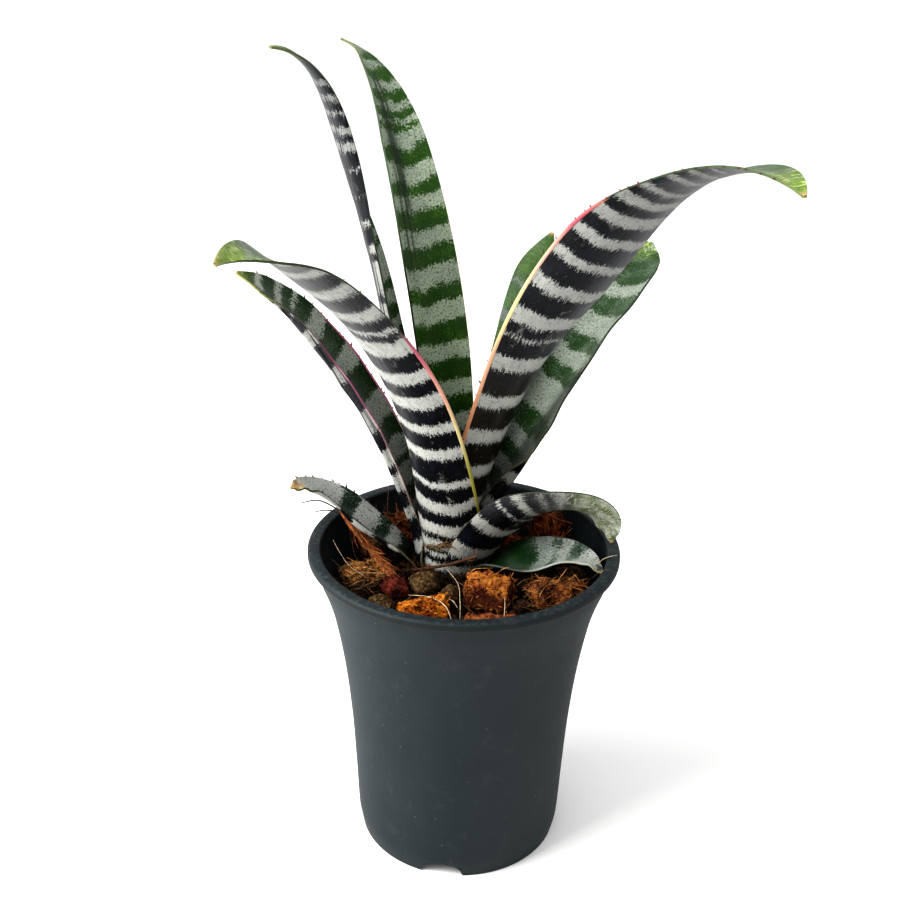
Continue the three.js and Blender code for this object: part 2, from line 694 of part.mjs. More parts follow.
addPiece('pot', potGeometry(), '#34393b', 0.55);
addPiece('potting_mix', mixGeometry(), '#2a1f18', 0.95);
addPiece('stem', stemGeometry(0), '#8a8f5a', 0.7);
for (const leaf of LEAVES) {
  addPiece(leaf.name, leafGeometry(leaf), leaf.colour, 0.45);
}
for (const chip of CHIPS) {
  addPiece(chip.name, chipGeometry(chip), chip.colour, 0.9);
}
for (const [i, pellet] of PELLETS.entries()) {
  addPiece(`clay_pellet_${i + 1}`, pelletGeometry(pellet, i), '#6b5a45', 0.9);
}
addPiece('husk_strip', stripGeometry(), '#8a4a22', 0.9);
addPiece('dry_root', rootGeometry(), '#4f3222', 0.85);

export default pottedPlant;
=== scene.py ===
"""Looks of a young banded aechmea in a deep flared nursery pot.

Lengths in this file are millimetres until a mesh is finished, when they become metres. Places are
measured from the pot's axis, on the surface that the pot stands on, with +Z up.
"""

import json
import logging
import math
import random
from dataclasses import dataclass, field
from enum import Enum
from typing import Callable, Iterable, Optional, Sequence, Union

import bmesh
import bpy
from bmesh.types import BMEdge, BMesh, BMVert
from bpy.types import ColorRamp, Material, Node, NodeSocket, Object
from mathutils import Euler, Matrix, Vector, noise


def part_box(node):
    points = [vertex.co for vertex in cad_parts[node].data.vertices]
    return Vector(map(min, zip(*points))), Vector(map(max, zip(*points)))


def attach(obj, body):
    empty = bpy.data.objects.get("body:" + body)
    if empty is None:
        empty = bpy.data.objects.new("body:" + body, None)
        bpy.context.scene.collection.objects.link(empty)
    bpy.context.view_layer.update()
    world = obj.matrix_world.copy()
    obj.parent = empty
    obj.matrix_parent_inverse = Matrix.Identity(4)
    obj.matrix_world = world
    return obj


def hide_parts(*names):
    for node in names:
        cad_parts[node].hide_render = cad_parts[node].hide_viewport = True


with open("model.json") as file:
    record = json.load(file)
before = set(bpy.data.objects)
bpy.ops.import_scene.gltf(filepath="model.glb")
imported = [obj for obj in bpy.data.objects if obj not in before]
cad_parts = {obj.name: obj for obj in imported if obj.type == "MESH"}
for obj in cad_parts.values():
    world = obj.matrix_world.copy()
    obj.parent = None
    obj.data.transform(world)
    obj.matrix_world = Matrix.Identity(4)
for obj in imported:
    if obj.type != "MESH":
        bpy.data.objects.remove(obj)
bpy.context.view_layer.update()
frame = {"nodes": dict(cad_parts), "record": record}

log = logging.getLogger("aechmea")
logging.basicConfig(level=logging.INFO, format="%(message)s")

MM = 0.001
BODY = "root"
POT_LOW, POT_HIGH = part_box("pot")
POT_AXIS = Vector(((POT_LOW.x + POT_HIGH.x) / 2, (POT_LOW.y + POT_HIGH.y) / 2, 0.0)) / MM
STEM_PLACE = Vector((-5.5, 22.0, 0.0))
BOTH_EDGES = (-1, 1)
SMOOTH = 180.0

Triple = tuple[float, float, float]
Colour = Triple
Bands = tuple[tuple[float, float], ...]
Stops = tuple[tuple[float, Colour], ...]


# Small sums

def lerp(low: float, high: float, share: float) -> float:
    """Value at a share of the way from low to high."""
    return low + (high - low) * share


def smoothstep(low: float, high: float, value: float) -> float:
    """Smooth step from 0 at low to 1 at high."""
    share = min(max((value - low) / (high - low), 0.0), 1.0)
    return share * share * (3 - 2 * share)


def swell(t: float, start: float, full: float, hold: float, end: float) -> float:
    """Rises smoothly from 0 at start to 1 at full, and falls from 1 at hold to 0 at end."""
    return smoothstep(start, full, t) * smoothstep(end, hold, t)


def rolled(level: Vector, up: Vector, roll: float) -> tuple[Vector, Vector]:
    """Level and upward directions, rolled by an angle in radians about the forward one."""
    return level * math.cos(roll) + up * math.sin(roll), up * math.cos(roll) - level * math.sin(roll)


def shaded(colour: Colour, shade: float) -> tuple[float, ...]:
    """Colour made darker or lighter, with full cover."""
    return (*(channel * shade for channel in colour), 1.0)


def along(values: Sequence[float], t: float) -> float:
    """Value of a smooth curve through evenly spaced values.

    Args:
        values: the curve's values at even steps.
        t: place on the curve, from 0 to 1.

    Returns:
        The curve's value there.
    """
    last = len(values) - 1
    place = min(max(t, 0.0), 1.0) * last
    i = min(int(place), last - 1)
    f = place - i
    before = values[i - 1] if i > 0 else 2 * values[0] - values[1]
    after = values[i + 2] if i + 2 <= last else 2 * values[last] - values[last - 1]
    a, b = values[i], values[i + 1]
    square = 2 * before - 5 * a + 4 * b - after
    cube = 3 * (a - b) + after - before
    return a + 0.5 * f * (b - before + f * (square + f * cube))


def between(places: Sequence[float], values: Sequence[float], place: float) -> float:
    """Value of a smooth curve through unevenly spaced values.

    Args:
        places: rising places where the values are given.
        values: the value at each place.
        place: where the curve is read.

    Returns:
        The curve's value there.
    """
    last = len(places) - 1
    i = 0
    while i < last - 1 and places[i + 1] < place:
        i += 1
    span = places[i + 1] - places[i]
    f = min(max((place - places[i]) / span, 0.0), 1.0)

    def slope(k: int) -> float:
        """Slope of the curve at one of the places."""
        low, high = max(k - 1, 0), min(k + 1, last)
        return (values[high] - values[low]) / (places[high] - places[low])

    rise = values[i + 1] - values[i]
    start, end = slope(i) * span, slope(i + 1) * span
    return values[i] + f * (start + f * (3 * rise - 2 * start - end + f * (start + end - 2 * rise)))


# Shader building

class Signal:
    """A number that varies over a surface: a shader socket with arithmetic."""

    def __init__(self, tree: "Finish", socket: NodeSocket) -> None:
        """Wraps a socket of a finish's tree."""
        self.tree = tree
        self.socket = socket

    def _math(self, operation: str, *values: "Amount") -> "Signal":
        """Adds a Math node and returns its result.

        Args:
            operation: the Math node's operation.
            values: its inputs in order.

        Returns:
            The node's result.
        """
        made = self.tree.node("ShaderNodeMath", {"operation": operation}, dict(enumerate(values)))
        return Signal(self.tree, made.outputs[0])

    def __add__(self, other: "Amount") -> "Signal":
        """Sum."""
        return self._math("ADD", self, other)

    def __radd__(self, other: "Amount") -> "Signal":
        """Sum, reflected."""
        return self._math("ADD", other, self)

    def __sub__(self, other: "Amount") -> "Signal":
        """Difference."""
        return self._math("SUBTRACT", self, other)

    def __rsub__(self, other: "Amount") -> "Signal":
        """Difference, reflected."""
        return self._math("SUBTRACT", other, self)

    def __mul__(self, other: "Amount") -> "Signal":
        """Product."""
        return self._math("MULTIPLY", self, other)

    def __rmul__(self, other: "Amount") -> "Signal":
        """Product, reflected."""
        return self._math("MULTIPLY", other, self)

    def __truediv__(self, other: "Amount") -> "Signal":
        """Quotient."""
        return self._math("DIVIDE", self, other)

    def at_least(self, other: "Amount") -> "Signal":
        """Larger of two."""
        return self._math("MAXIMUM", self, other)

    def step(self, low: "Amount", high: "Amount") -> "Signal":
        """Smooth step from 0 at low to 1 at high.

        Args:
            low: where the step starts.
            high: where the step ends.

        Returns:
            The step, from 0 to 1.
        """
        made = self.tree.node(
            "ShaderNodeMapRange",
            {"interpolation_type": "SMOOTHSTEP"},
            {"Value": self, "From Min": low, "From Max": high},
        )
        return Signal(self.tree, made.outputs[0])


Amount = Union[Signal, float]


class Finish:
    """A material under construction, with the few node recipes that the finishes share."""

    def __init__(self, name: str) -> None:
        """Starts a material with only its surface shader.

        Args:
            name: the material's name.
        """
        self.material = bpy.data.materials.new(name)
        self.material.use_nodes = True
        self.tree = self.material.node_tree
        self.shader = self.tree.nodes["Principled BSDF"]

    def node(
        self,
        kind: str,
        settings: Optional[dict[str, object]] = None,
        sockets: Optional[dict[Union[int, str], object]] = None,
    ) -> Node:
        """Adds a node.

        Args:
            kind: the node's type.
            settings: its own settings, set first, with a ramp's stops under "stops".
            sockets: a value or a link for each named or numbered input.

        Returns:
            The node.
        """
        made = self.tree.nodes.new(kind)
        for key, value in (settings or {}).items():
            if key == "stops":
                self.set_stops(made.color_ramp, value)
            else:
                setattr(made, key, value)
        for key, value in (sockets or {}).items():
            self.feed(made.inputs[key], value)
        return made

    def set_stops(self, ramp: ColorRamp, stops: Stops) -> None:
        """Gives a colour ramp its stops.

        Args:
            ramp: the ramp.
            stops: place and colour of each stop, in order.
        """
        ramp.interpolation = "EASE"
        while len(ramp.elements) < len(stops):
            ramp.elements.new(0.5)
        for element, (place, colour) in zip(ramp.elements, stops):
            element.position = place
            element.color = (*colour, 1.0)

    def feed(self, socket: NodeSocket, value: object) -> None:
        """Sets a socket to a value, or links it.

        Args:
            socket: the input.
            value: a signal, an output socket, a colour or a number.
        """
        if isinstance(value, Signal):
            self.tree.links.new(value.socket, socket)
        elif isinstance(value, NodeSocket):
            self.tree.links.new(value, socket)
        elif isinstance(value, tuple) and socket.type == "RGBA":
            socket.default_value = (*value, 1.0)
        else:
            socket.default_value = value

    def attributes(self, *names: str) -> list[Signal]:
        """Numbers stored on the mesh's points."""
        made = [self.node("ShaderNodeAttribute", {"attribute_name": name}) for name in names]
        return [Signal(self, node.outputs["Fac"]) for node in made]

    def tint(self, name: str) -> NodeSocket:
        """Colour stored on the mesh's points."""
        return self.node("ShaderNodeAttribute", {"attribute_name": name}).outputs["Color"]

    def place(self, scale: Union[float, Triple], turn: Triple = (0, 0, 0)) -> NodeSocket:
        """Object coordinates in millimetres, scaled and turned.

        Args:
            scale: pattern repeats for each millimetre, one number or one each for x, y and z.
            turn: turn of the pattern in degrees.

        Returns:
            The coordinates.
        """
        scales = scale if isinstance(scale, tuple) else (scale, scale, scale)
        coordinates = self.node("ShaderNodeTexCoord")
        made = self.node("ShaderNodeMapping", None, {
            "Vector": coordinates.outputs["Object"],
            "Rotation": tuple(math.radians(angle) for angle in turn),
            "Scale": tuple(size / MM for size in scales),
        })
        return made.outputs[0]

    def level(self) -> Signal:
        """Height above the ground in millimetres.

        Returns:
            The height.
        """
        coordinates = self.node("ShaderNodeTexCoord")
        split = self.node("ShaderNodeSeparateXYZ", None, {0: coordinates.outputs["Object"]})
        return Signal(self, split.outputs[2]) / MM

    def streaks(
        self, across: float, lengthwise: float, shift: float, detail: float, roughness: float = 0.5,
    ) -> Signal:
        """Noise from 0 to 1 that follows the blade.

        Args:
            across: repeats for each millimetre across the leaf.
            lengthwise: repeats for each millimetre along it.
            shift: moves the pattern, so that two of them differ.
            detail: how many finer layers are added.
            roughness: how strong the finer layers are.

        Returns:
            The noise.
        """
        made = self.node("ShaderNodeMapping", None, {
            "Vector": self.node("ShaderNodeUVMap", {"uv_map": "blade"}).outputs[0],
            "Location": (shift, shift, 0.0),
            "Scale": (across, lengthwise, 1.0),
        })
        return self.noise_on(made.outputs[0], detail, roughness)

    def noise(
        self, scale: Union[float, Triple], detail: float, roughness: float = 0.5, turn: Triple = (0, 0, 0),
    ) -> Signal:
        """Noise from 0 to 1 on object coordinates, scaled and turned as place does."""
        return self.noise_on(self.place(scale, turn), detail, roughness)

    def noise_on(self, vector: NodeSocket, detail: float, roughness: float) -> Signal:
        """Noise from 0 to 1 on coordinates, with finer layers of that roughness."""
        sockets = {"Vector": vector, "Scale": 1.0, "Detail": detail, "Roughness": roughness}
        return Signal(self, self.node("ShaderNodeTexNoise", {"noise_dimensions": "3D"}, sockets).outputs[0])

    def cells(self, scale: float, turn: Triple = (0, 0, 0)) -> Signal:
        """Distance to the nearest of scattered points."""
        made = self.node("ShaderNodeTexVoronoi", None, {"Vector": self.place(scale, turn), "Scale": 1.0})
        return Signal(self, made.outputs["Distance"])

    def mix(self, share: Amount, first: object, second: object) -> NodeSocket:
        """Blends two colours.

        Args:
            share: how much of the second colour shows.
            first: a colour or a colour socket.
            second: a colour or a colour socket.

        Returns:
            The blended colour.
        """
        made = self.node("ShaderNodeMix", {"data_type": "RGBA"}, {0: share, 6: first, 7: second})
        return made.outputs[2]

    def ramp(self, signal: Signal, stops: Stops) -> NodeSocket:
        """Colour that runs through stops as the signal goes from 0 to 1."""
        return self.node("ShaderNodeValToRGB", {"stops": stops}, {0: signal}).outputs[0]

    def surface(
        self,
        colour: object,
        roughness: Amount,
        height: Optional[Signal] = None,
        relief: float = 0.1,
        **constants: float,
    ) -> Material:
        """Finishes the material.

        Args:
            colour: its base colour.
            roughness: its roughness.
            height: the fine relief, from 0 to 1.
            relief: depth of that relief in millimetres.
            constants: other inputs of the surface shader, with _ for a space.

        Returns:
            The material.
        """
        self.feed(self.shader.inputs["Base Color"], colour)
        self.feed(self.shader.inputs["Roughness"], roughness)
        for name, value in constants.items():
            self.shader.inputs[name.replace("_", " ")].default_value = value
        if height is not None:
            sockets = {"Height": height, "Strength": 1.0, "Distance": relief * MM}
            bump = self.node("ShaderNodeBump", None, sockets)
            self.feed(self.shader.inputs["Normal"], bump.outputs[0])
        return self.material


# Finishes

@dataclass(frozen=True)
class LeafTip:
    """Lime and cream flush towards a leaf's tip, and the dry brown at its very end."""

    lime: Colour = (0.200, 0.310, 0.028)
    cream: Colour = (0.520, 0.560, 0.240)
    tan: Colour = (0.420, 0.260, 0.100)
    parched: Colour = (0.620, 0.520, 0.360)

    def over(
        self, f: Finish, colour: NodeSocket, flush: Signal, light: Signal, dry: Signal, pale: Signal,
    ) -> NodeSocket:
        """Lays the tip's colours over a blade's.

        Args:
            f: the blade's finish.
            colour: the blade's colour.
            flush: how much lime shows.
            light: how much cream shows.
            dry: how much brown shows.
            pale: patches in which the brown is bleached.

        Returns:
            The colour.
        """
        colour = f.mix(flush, colour, self.lime)
        colour = f.mix(light, colour, self.cream)
        return f.mix(dry, colour, f.mix(pale, self.tan, self.parched))


@dataclass(frozen=True)
class BladeUnderside:
    """Near-black underside of a leaf, with powdery silver crossbands and a painted sheen."""

    black: Colour = (0.0030, 0.0034, 0.0050)
    blue: Colour = (0.0075, 0.0095, 0.0150)
    olive: Colour = (0.0150, 0.0110, 0.0050)
    silver: Colour = (0.440, 0.445, 0.415)
    grey: Colour = (0.190, 0.195, 0.188)
    # Grey of the painted sheen, a painted reflection; it also lightens the slits in the dark bands.
    sheen: Colour = (0.105, 0.107, 0.116)

    def material(self) -> Material:
        """Builds the finish from the blade's own attributes.

        Returns:
            The material.
        """
        f = Finish("leaf_underside")
        edge, warm, bloom, soft, gloss = f.attributes("edge", "warm", "bloom", "soft", "gloss")
        lime, dry, streaked = f.attributes("lime", "dry", "streaked")
        streaks = f.streaks(1.5, 0.26, 0.0, 4.0, 0.65) - 0.5
        teeth = f.streaks(2.7, 1.0, 7.0, 3.0, 0.7) - 0.5
        grain = f.streaks(1.5, 1.3, 3.0, 3.0, 0.75) - 0.5
        reach = edge - 0.35 + streaks * 6.0 + teeth * 4.5 + grain * (2.5 + soft * 3.0)
        band = reach.step(-0.30 - soft * 1.5, 0.30 + soft * 1.5)
        slits = f.streaks(3.0, 0.09, 5.0, 2.0).step(0.58, 0.68)
        loss = f.streaks(0.40, 0.30, 9.0, 3.0, 0.7).step(0.54, 0.72)
        cover = band * (1.0 - slits * 0.35) * (1.0 - loss * 0.45)
        cover = cover * (1.0 - (0.0 - grain).step(0.04, 0.22) * 0.55)
        specks = f.streaks(1.9, 1.5, 11.0, 1.0).step(0.72, 0.78)
        cloud = f.streaks(0.16, 0.12, 2.0, 2.0)
        pale = f.streaks(0.55, 0.9, 19.0, 3.0, 0.6).step(0.56, 0.66)
        cover = cover.at_least(specks * 0.5).at_least(soft * (0.12 + 0.5 * grain))
        cover = cover.at_least((soft - 0.85) * (1.4 * pale + 3.0 * grain + (cloud - 0.36) * 5.0))
        dark = f.mix(cloud.step(0.4, 0.7), self.black, self.blue)
        dark = f.mix(warm, dark, self.olive)
        dark = f.mix((slits * 0.5 + streaks.step(0.0, 0.3) * 0.5) * 0.12, dark, self.sheen)
        powder = f.mix((bloom + (cloud - 0.5) * 0.5 + grain * 0.6).at_least(0.0), self.grey, self.silver)
        colour = f.mix(cover, dark, powder)
        lines = f.streaks(1.1, 0.012, 15.0, 2.0, 0.6).step(0.49, 0.57)
        # Along the shade streak: painted sheen, a painted reflection, and dark lengthwise lines over it.
        colour = f.mix(streaked * 0.32, colour, self.sheen)
        colour = f.mix(streaked * lines * 0.88, colour, self.black)
        # Painted sheen: a reflection painted into the colour towards one edge, mostly over the dark bands.
        colour = f.mix(gloss * (0.60 + streaks + grain) * (1.0 - cover * 0.75), colour, self.sheen)
        flush = lime * (0.55 + 1.6 * grain + 0.6 * cloud) * (1.0 - cover * 0.7)
        colour = LeafTip().over(f, colour, flush, lime * pale * 0.7, dry, pale)
        ribs = f.streaks(1.3, 0.015, 4.0, 1.0)
        height = ribs * 0.8 + band * 0.25 + grain * 0.4 * band
        roughness = 0.36 + cover * 0.4 + grain * 0.1
        return f.surface(colour, roughness, height, 0.14, Specular_IOR_Level=0.20)


@dataclass(frozen=True)
class BladeUpperSide:
    """Green upper side of a leaf, with broad speckled silver bands and a painted shadow streak."""

    deep: Colour = (0.0030, 0.0170, 0.0050)
    green: Colour = (0.0180, 0.0600, 0.0035)
    bright: Colour = (0.0500, 0.1300, 0.0060)
    silver: Colour = (0.350, 0.400, 0.310)
    ash: Colour = (0.375, 0.385, 0.365)
    grey: Colour = (0.135, 0.155, 0.138)
    frosted: Colour = (0.108, 0.132, 0.118)
    shadow: Colour = (0.008, 0.018, 0.007)

    def material(self) -> Material:
        """Builds the finish from the blade's own attributes.

        Returns:
            The material.
        """
        f = Finish("leaf_upper_side")
        edge, frost, vivid, bloom = f.attributes("edge", "frost", "vivid", "bloom")
        lime, dry, streaked = f.attributes("lime", "dry", "streaked")
        streaks = f.streaks(1.4, 0.24, 21.0, 3.0, 0.65) - 0.5
        teeth = f.streaks(2.2, 1.0, 17.0, 3.0, 0.7) - 0.5
        patches = f.streaks(0.13, 0.12, 9.0, 3.0, 0.6) - 0.5
        dots = f.streaks(1.25, 1.1, 13.0, 3.0, 0.75) - 0.5
        reach = edge + 0.1 + streaks * 3.2 + teeth * 2.4 + patches * 4.5
        cover = reach.step(-1.5, 1.5) * 0.78
        band = (cover + dots * 2.7).step(0.30, 0.72)
        veil = (frost * (0.55 + 1.6 * patches) + dots * 1.6).step(0.16, 0.62)
        shade = f.mix(vivid, self.deep, self.green)
        shade = f.mix(vivid * (patches + 0.5 + dots * 0.9).step(0.48, 0.80), shade, self.bright)
        shade = f.mix(veil * 0.75, shade, self.frosted)
        silver = f.mix(vivid, self.ash, self.silver)
        powder = f.mix((bloom + patches + dots * 1.6).at_least(0.0), self.grey, silver)
        colour = f.mix(band, shade, powder)
        dim = f.streaks(0.42, 0.008, 31.0, 3.0, 0.6).step(0.46, 0.56)
        # Painted shadow: a dark lengthwise streak laid along the shade streak.
        colour = f.mix(streaked * (0.22 + 0.58 * dim), colour, self.shadow)
        flush = lime * (1.0 - band * 0.55) * (0.6 + patches + dots * 1.8)
        pale = f.streaks(0.30, 0.8, 39.0, 3.0, 0.6).step(0.54, 0.62)
        colour = LeafTip().over(f, colour, flush, lime * pale * 0.75, dry, pale)
        ribs = f.streaks(1.3, 0.015, 24.0, 1.0)
        height = ribs * 0.8 + band * 0.2 + dots * 0.3
        roughness = 0.38 + band * 0.3 + dots * 0.1
        return f.surface(colour, roughness, height, 0.14, Specular_IOR_Level=0.25)


@dataclass(frozen=True)
class MarginFinish:
    """Waxy coloured margin of a leaf, whose colour runs from base to tip."""

    name: str
    stops: Stops
    flushed: Colour = (0.22, 0.05, 0.04)

    def material(self) -> Material:
        """Builds the finish from the place along the margin.

        Returns:
            The material.
        """
        f = Finish(f"margin_{self.name}")
        (t,) = f.attributes("t")
        drift = f.streaks(0.6, 0.12, 0.0, 3.0, 0.6)
        colour = f.ramp(t + (drift - 0.5) * 0.05, self.stops)
        flush = f.streaks(1.2, 0.5, 6.0, 2.0).step(0.55, 0.75)
        colour = f.mix(flush * 0.22, colour, self.flushed)
        height = f.streaks(1.4, 0.6, 0.0, 2.0)
        return f.surface(colour, 0.4 + 0.15 * drift, height, 0.1, Specular_IOR_Level=0.35)


@dataclass(frozen=True)
class SpineFinish:
    """Hard spine, darker towards its point."""

    name: str = "spine_horn"
    base: Colour = (0.28, 0.05, 0.05)
    point: Colour = (0.035, 0.010, 0.008)

    def material(self) -> Material:
        """Builds the finish from the place along the spine.

        Returns:
            The material.
        """
        f = Finish(self.name)
        (reach,) = f.attributes("reach")
        mottle = f.noise(1.5, 2.0)
        colour = f.mix((reach + (mottle - 0.5) * 0.5).step(0.1, 0.8), self.base, self.point)
        return f.surface(colour, 0.34 + 0.1 * mottle)


@dataclass(frozen=True)
class PotPlastic:
    """Matte charcoal plastic, fine grain, a few dust specks, dark pits, painted shade on the lip bead."""

    # Levels in millimetres that bound the painted shade on the lip's outer bead and the marks on its top.
    lip_foot: tuple[float, float] = (124.6, 125.2)
    lip_top: tuple[float, float, float] = (127.2, 127.9, 128.25)
    charcoal: Colour = (0.0058, 0.0122, 0.0152)
    slate: Colour = (0.0102, 0.0176, 0.0206)
    dust: Colour = (0.12, 0.125, 0.125)
    # Near black of the dark pits, also used for the painted shade on the lip's bead.
    pit_black_and_painted_shade: Colour = (0.002, 0.002, 0.002)

    def material(self) -> Material:
        """Builds the finish on the pot's own coordinates.

        Returns:
            The material.
        """
        f = Finish("pot_plastic")
        cloud = f.noise((0.035, 0.035, 0.02), 4.0, 0.55)
        colour = f.mix(cloud.step(0.35, 0.7), self.charcoal, self.slate)
        film = f.noise((0.12, 0.12, 0.09), 5.0, 0.7).step(0.52, 0.8)
        colour = f.mix(film * 0.16, colour, self.dust)
        level = f.level()
        shoulder, edge, top = self.lip_top
        # Painted shade: the lip's outer bead is darkened between its lower and upper levels.
        bead_shade = level.step(*self.lip_foot) * level.step(edge, shoulder)
        colour = f.mix(bead_shade * 0.6, colour, self.pit_black_and_painted_shade)
        strokes = f.noise(0.5, 4.0, 0.75).step(0.47, 0.66) * level.step(edge, top)
        colour = f.mix(strokes * 0.26, colour, self.dust)
        specks = 1.0 - f.cells(0.16).step(0.025, 0.055)
        colour = f.mix(specks * 0.7, colour, self.dust)
        pits = 1.0 - f.cells(0.11, (20, 35, 0)).step(0.03, 0.07)
        colour = f.mix(pits * 0.8, colour, self.pit_black_and_painted_shade)
        grain = f.noise(1.5, 3.0, 0.6)
        scuffs = f.noise((0.08, 0.08, 1.4), 3.0, turn=(15, 0, 30)).step(0.66, 0.78)
        roughness = 0.57 + 0.12 * cloud + 0.1 * film - 0.06 * scuffs + (grain - 0.5) * 0.2
        height = grain * 0.6 + scuffs * 0.2 + specks * 0.6 - pits * 0.6
        return f.surface(colour, roughness, height, 0.07, Specular_IOR_Level=0.38)


@dataclass(frozen=True)
class HuskFinish:
    """Coconut husk: pithy and fibrous, from bright to nearly black, darker below a given level."""

    name: str
    bright: Colour
    middle: Colour
    dark: Colour
    darker_below: float = 0.0
    grain: Triple = (0.3, 1.9, 1.9)
    turn: Triple = (0.0, 0.0, 20.0)

    def material(self) -> Material:
        """Builds the finish on the chip's own coordinates.

        Returns:
            The material.
        """
        f = Finish(f"husk_{self.name}")
        fibres = f.noise(self.grain, 4.0, 0.7, self.turn)
        lumps = f.noise(0.20, 3.0, 0.6)
        pith = f.noise(1.2, 4.0, 0.75)
        colour = f.mix((fibres + (lumps - 0.5) * 0.9).step(0.40, 0.62), self.middle, self.bright)
        colour = f.mix((pith * 0.7 + lumps * 0.5).step(0.62, 0.50), colour, self.dark)
        # Darker below the given level, with a ragged edge.
        level = f.level() + (lumps - 0.5) * 14.0 + (pith - 0.5) * 6.0
        below_level = level.step(self.darker_below + 1.5, self.darker_below - 1.5)
        colour = f.mix(below_level * 0.9, colour, self.dark)
        height = fibres * 0.8 + pith * 0.9
        return f.surface(colour, 0.84 + 0.1 * lumps, height, 0.9, Specular_IOR_Level=0.15)


@dataclass(frozen=True)
class ClayFinish:
    """Fired clay pellet, dusty brown with dark pores."""

    clay: Colour = (0.110, 0.062, 0.026)
    pale: Colour = (0.250, 0.165, 0.080)
    pore: Colour = (0.010, 0.007, 0.005)

    def material(self) -> Material:
        """Builds the finish on the pellet's own coordinates.

        Returns:
            The material.
        """
        f = Finish("fired_clay")
        cloud = f.noise(0.35, 4.0, 0.7)
        colour = f.mix(cloud.step(0.38, 0.66), self.clay, self.pale)
        pores = f.noise(0.8, 4.0, 0.75).step(0.58, 0.46)
        colour = f.mix((1.0 - pores).at_least(0.0) * 0.7, colour, self.pore)
        grain = f.noise(1.9, 3.0, 0.7)
        return f.surface(colour, 0.92, pores * 0.6 + grain * 0.8, 0.7, Specular_IOR_Level=0.12)


@dataclass(frozen=True)
class SoilFinish:
    """Dark damp body of the mix."""

    black: Colour = (0.006, 0.004, 0.003)
    brown: Colour = (0.036, 0.019, 0.010)

    def material(self) -> Material:
        """Builds the finish on the mix's own coordinates.

        Returns:
            The material.
        """
        f = Finish("mix_body")
        lumps = f.noise(0.35, 5.0, 0.7)
        colour = f.mix(lumps.step(0.5, 0.75), self.black, self.brown)
        height = lumps + f.noise(1.6, 2.0) * 0.5
        return f.surface(colour, 0.9, height, 0.9, Specular_IOR_Level=0.15)


@dataclass(frozen=True)
class TintFinish:
    """Crumbs or fibres that each have a tint of their own."""

    name: str
    roughness: float = 0.85
    relief: float = 0.25
    grain: float = 1.4
    shade: Colour = (0.004, 0.003, 0.002)

    def material(self) -> Material:
        """Builds the finish from each bit's stored tint.

        Returns:
            The material.
        """
        f = Finish(self.name)
        mottle = f.noise(self.grain, 3.0, 0.65)
        tint = f.tint("tint")
        shaded = f.mix(0.75, tint, self.shade)
        colour = f.mix(mottle.step(0.3, 0.62), shaded, tint)
        return f.surface(colour, self.roughness, mottle, self.relief, Specular_IOR_Level=0.2)


@dataclass(frozen=True)
class StemFinish:
    """Pale stem that the leaf bases clasp."""

    pale: Colour = (0.30, 0.34, 0.14)
    brown: Colour = (0.10, 0.055, 0.025)

    def material(self) -> Material:
        """Builds the finish on the stem's own coordinates.

        Returns:
            The material.
        """
        f = Finish("stem_skin")
        mottle = f.noise((0.4, 0.4, 0.15), 4.0, 0.6)
        colour = f.mix(mottle.step(0.4, 0.65), self.pale, self.brown)
        return f.surface(colour, 0.6, mottle, 0.3)


# Pieces

def piece_of(
    name: str,
    bm: BMesh,
    finishes: Iterable[Material],
    sharp: float,
) -> Object:
    """Turns a bmesh in millimetres from the pot's axis into a piece that rides on the pot.

    Args:
        name: the piece's name.
        bm: its shape, which is used up.
        finishes: its materials in order.
        sharp: angle in degrees past which an edge is sharp.

    Returns:
        The piece.
    """
    bmesh.ops.transform(bm, matrix=Matrix.Scale(MM, 4) @ Matrix.Translation(POT_AXIS), verts=bm.verts)
    mesh = bpy.data.meshes.new(name)
    bm.to_mesh(mesh)
    bm.free()
    for finish in finishes:
        mesh.materials.append(finish)
    mesh.shade_smooth()
    mesh.set_sharp_from_angle(angle=math.radians(sharp))
    log.info("%s: %d faces", name, len(mesh.polygons))
    piece = bpy.data.objects.new(name, mesh)
    bpy.context.scene.collection.objects.link(piece)
    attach(piece, BODY)
    return piece


def settle(piece: Object) -> None:
    """Makes a piece's modifiers part of its mesh.

    Args:
        piece: the piece.
    """
    evaluated = piece.evaluated_get(bpy.context.evaluated_depsgraph_get())
    mesh = bpy.data.meshes.new_from_object(evaluated)
    piece.modifiers.clear()
    piece.data = mesh


def node_shape(node: str) -> BMesh:
    """Copy of a CAD node's shape with its points merged, in millimetres from the pot's axis.

    Args:
        node: the CAD node's name.

    Returns:
        The shape.
    """
    bm = bmesh.new()
    bm.from_mesh(frame["nodes"][node].data)
    bmesh.ops.remove_doubles(bm, verts=bm.verts, dist=1e-6)
    move = Matrix.Translation(-POT_AXIS) @ Matrix.Scale(1 / MM, 4)
    bmesh.ops.transform(bm, matrix=move, verts=bm.verts)
    return bm


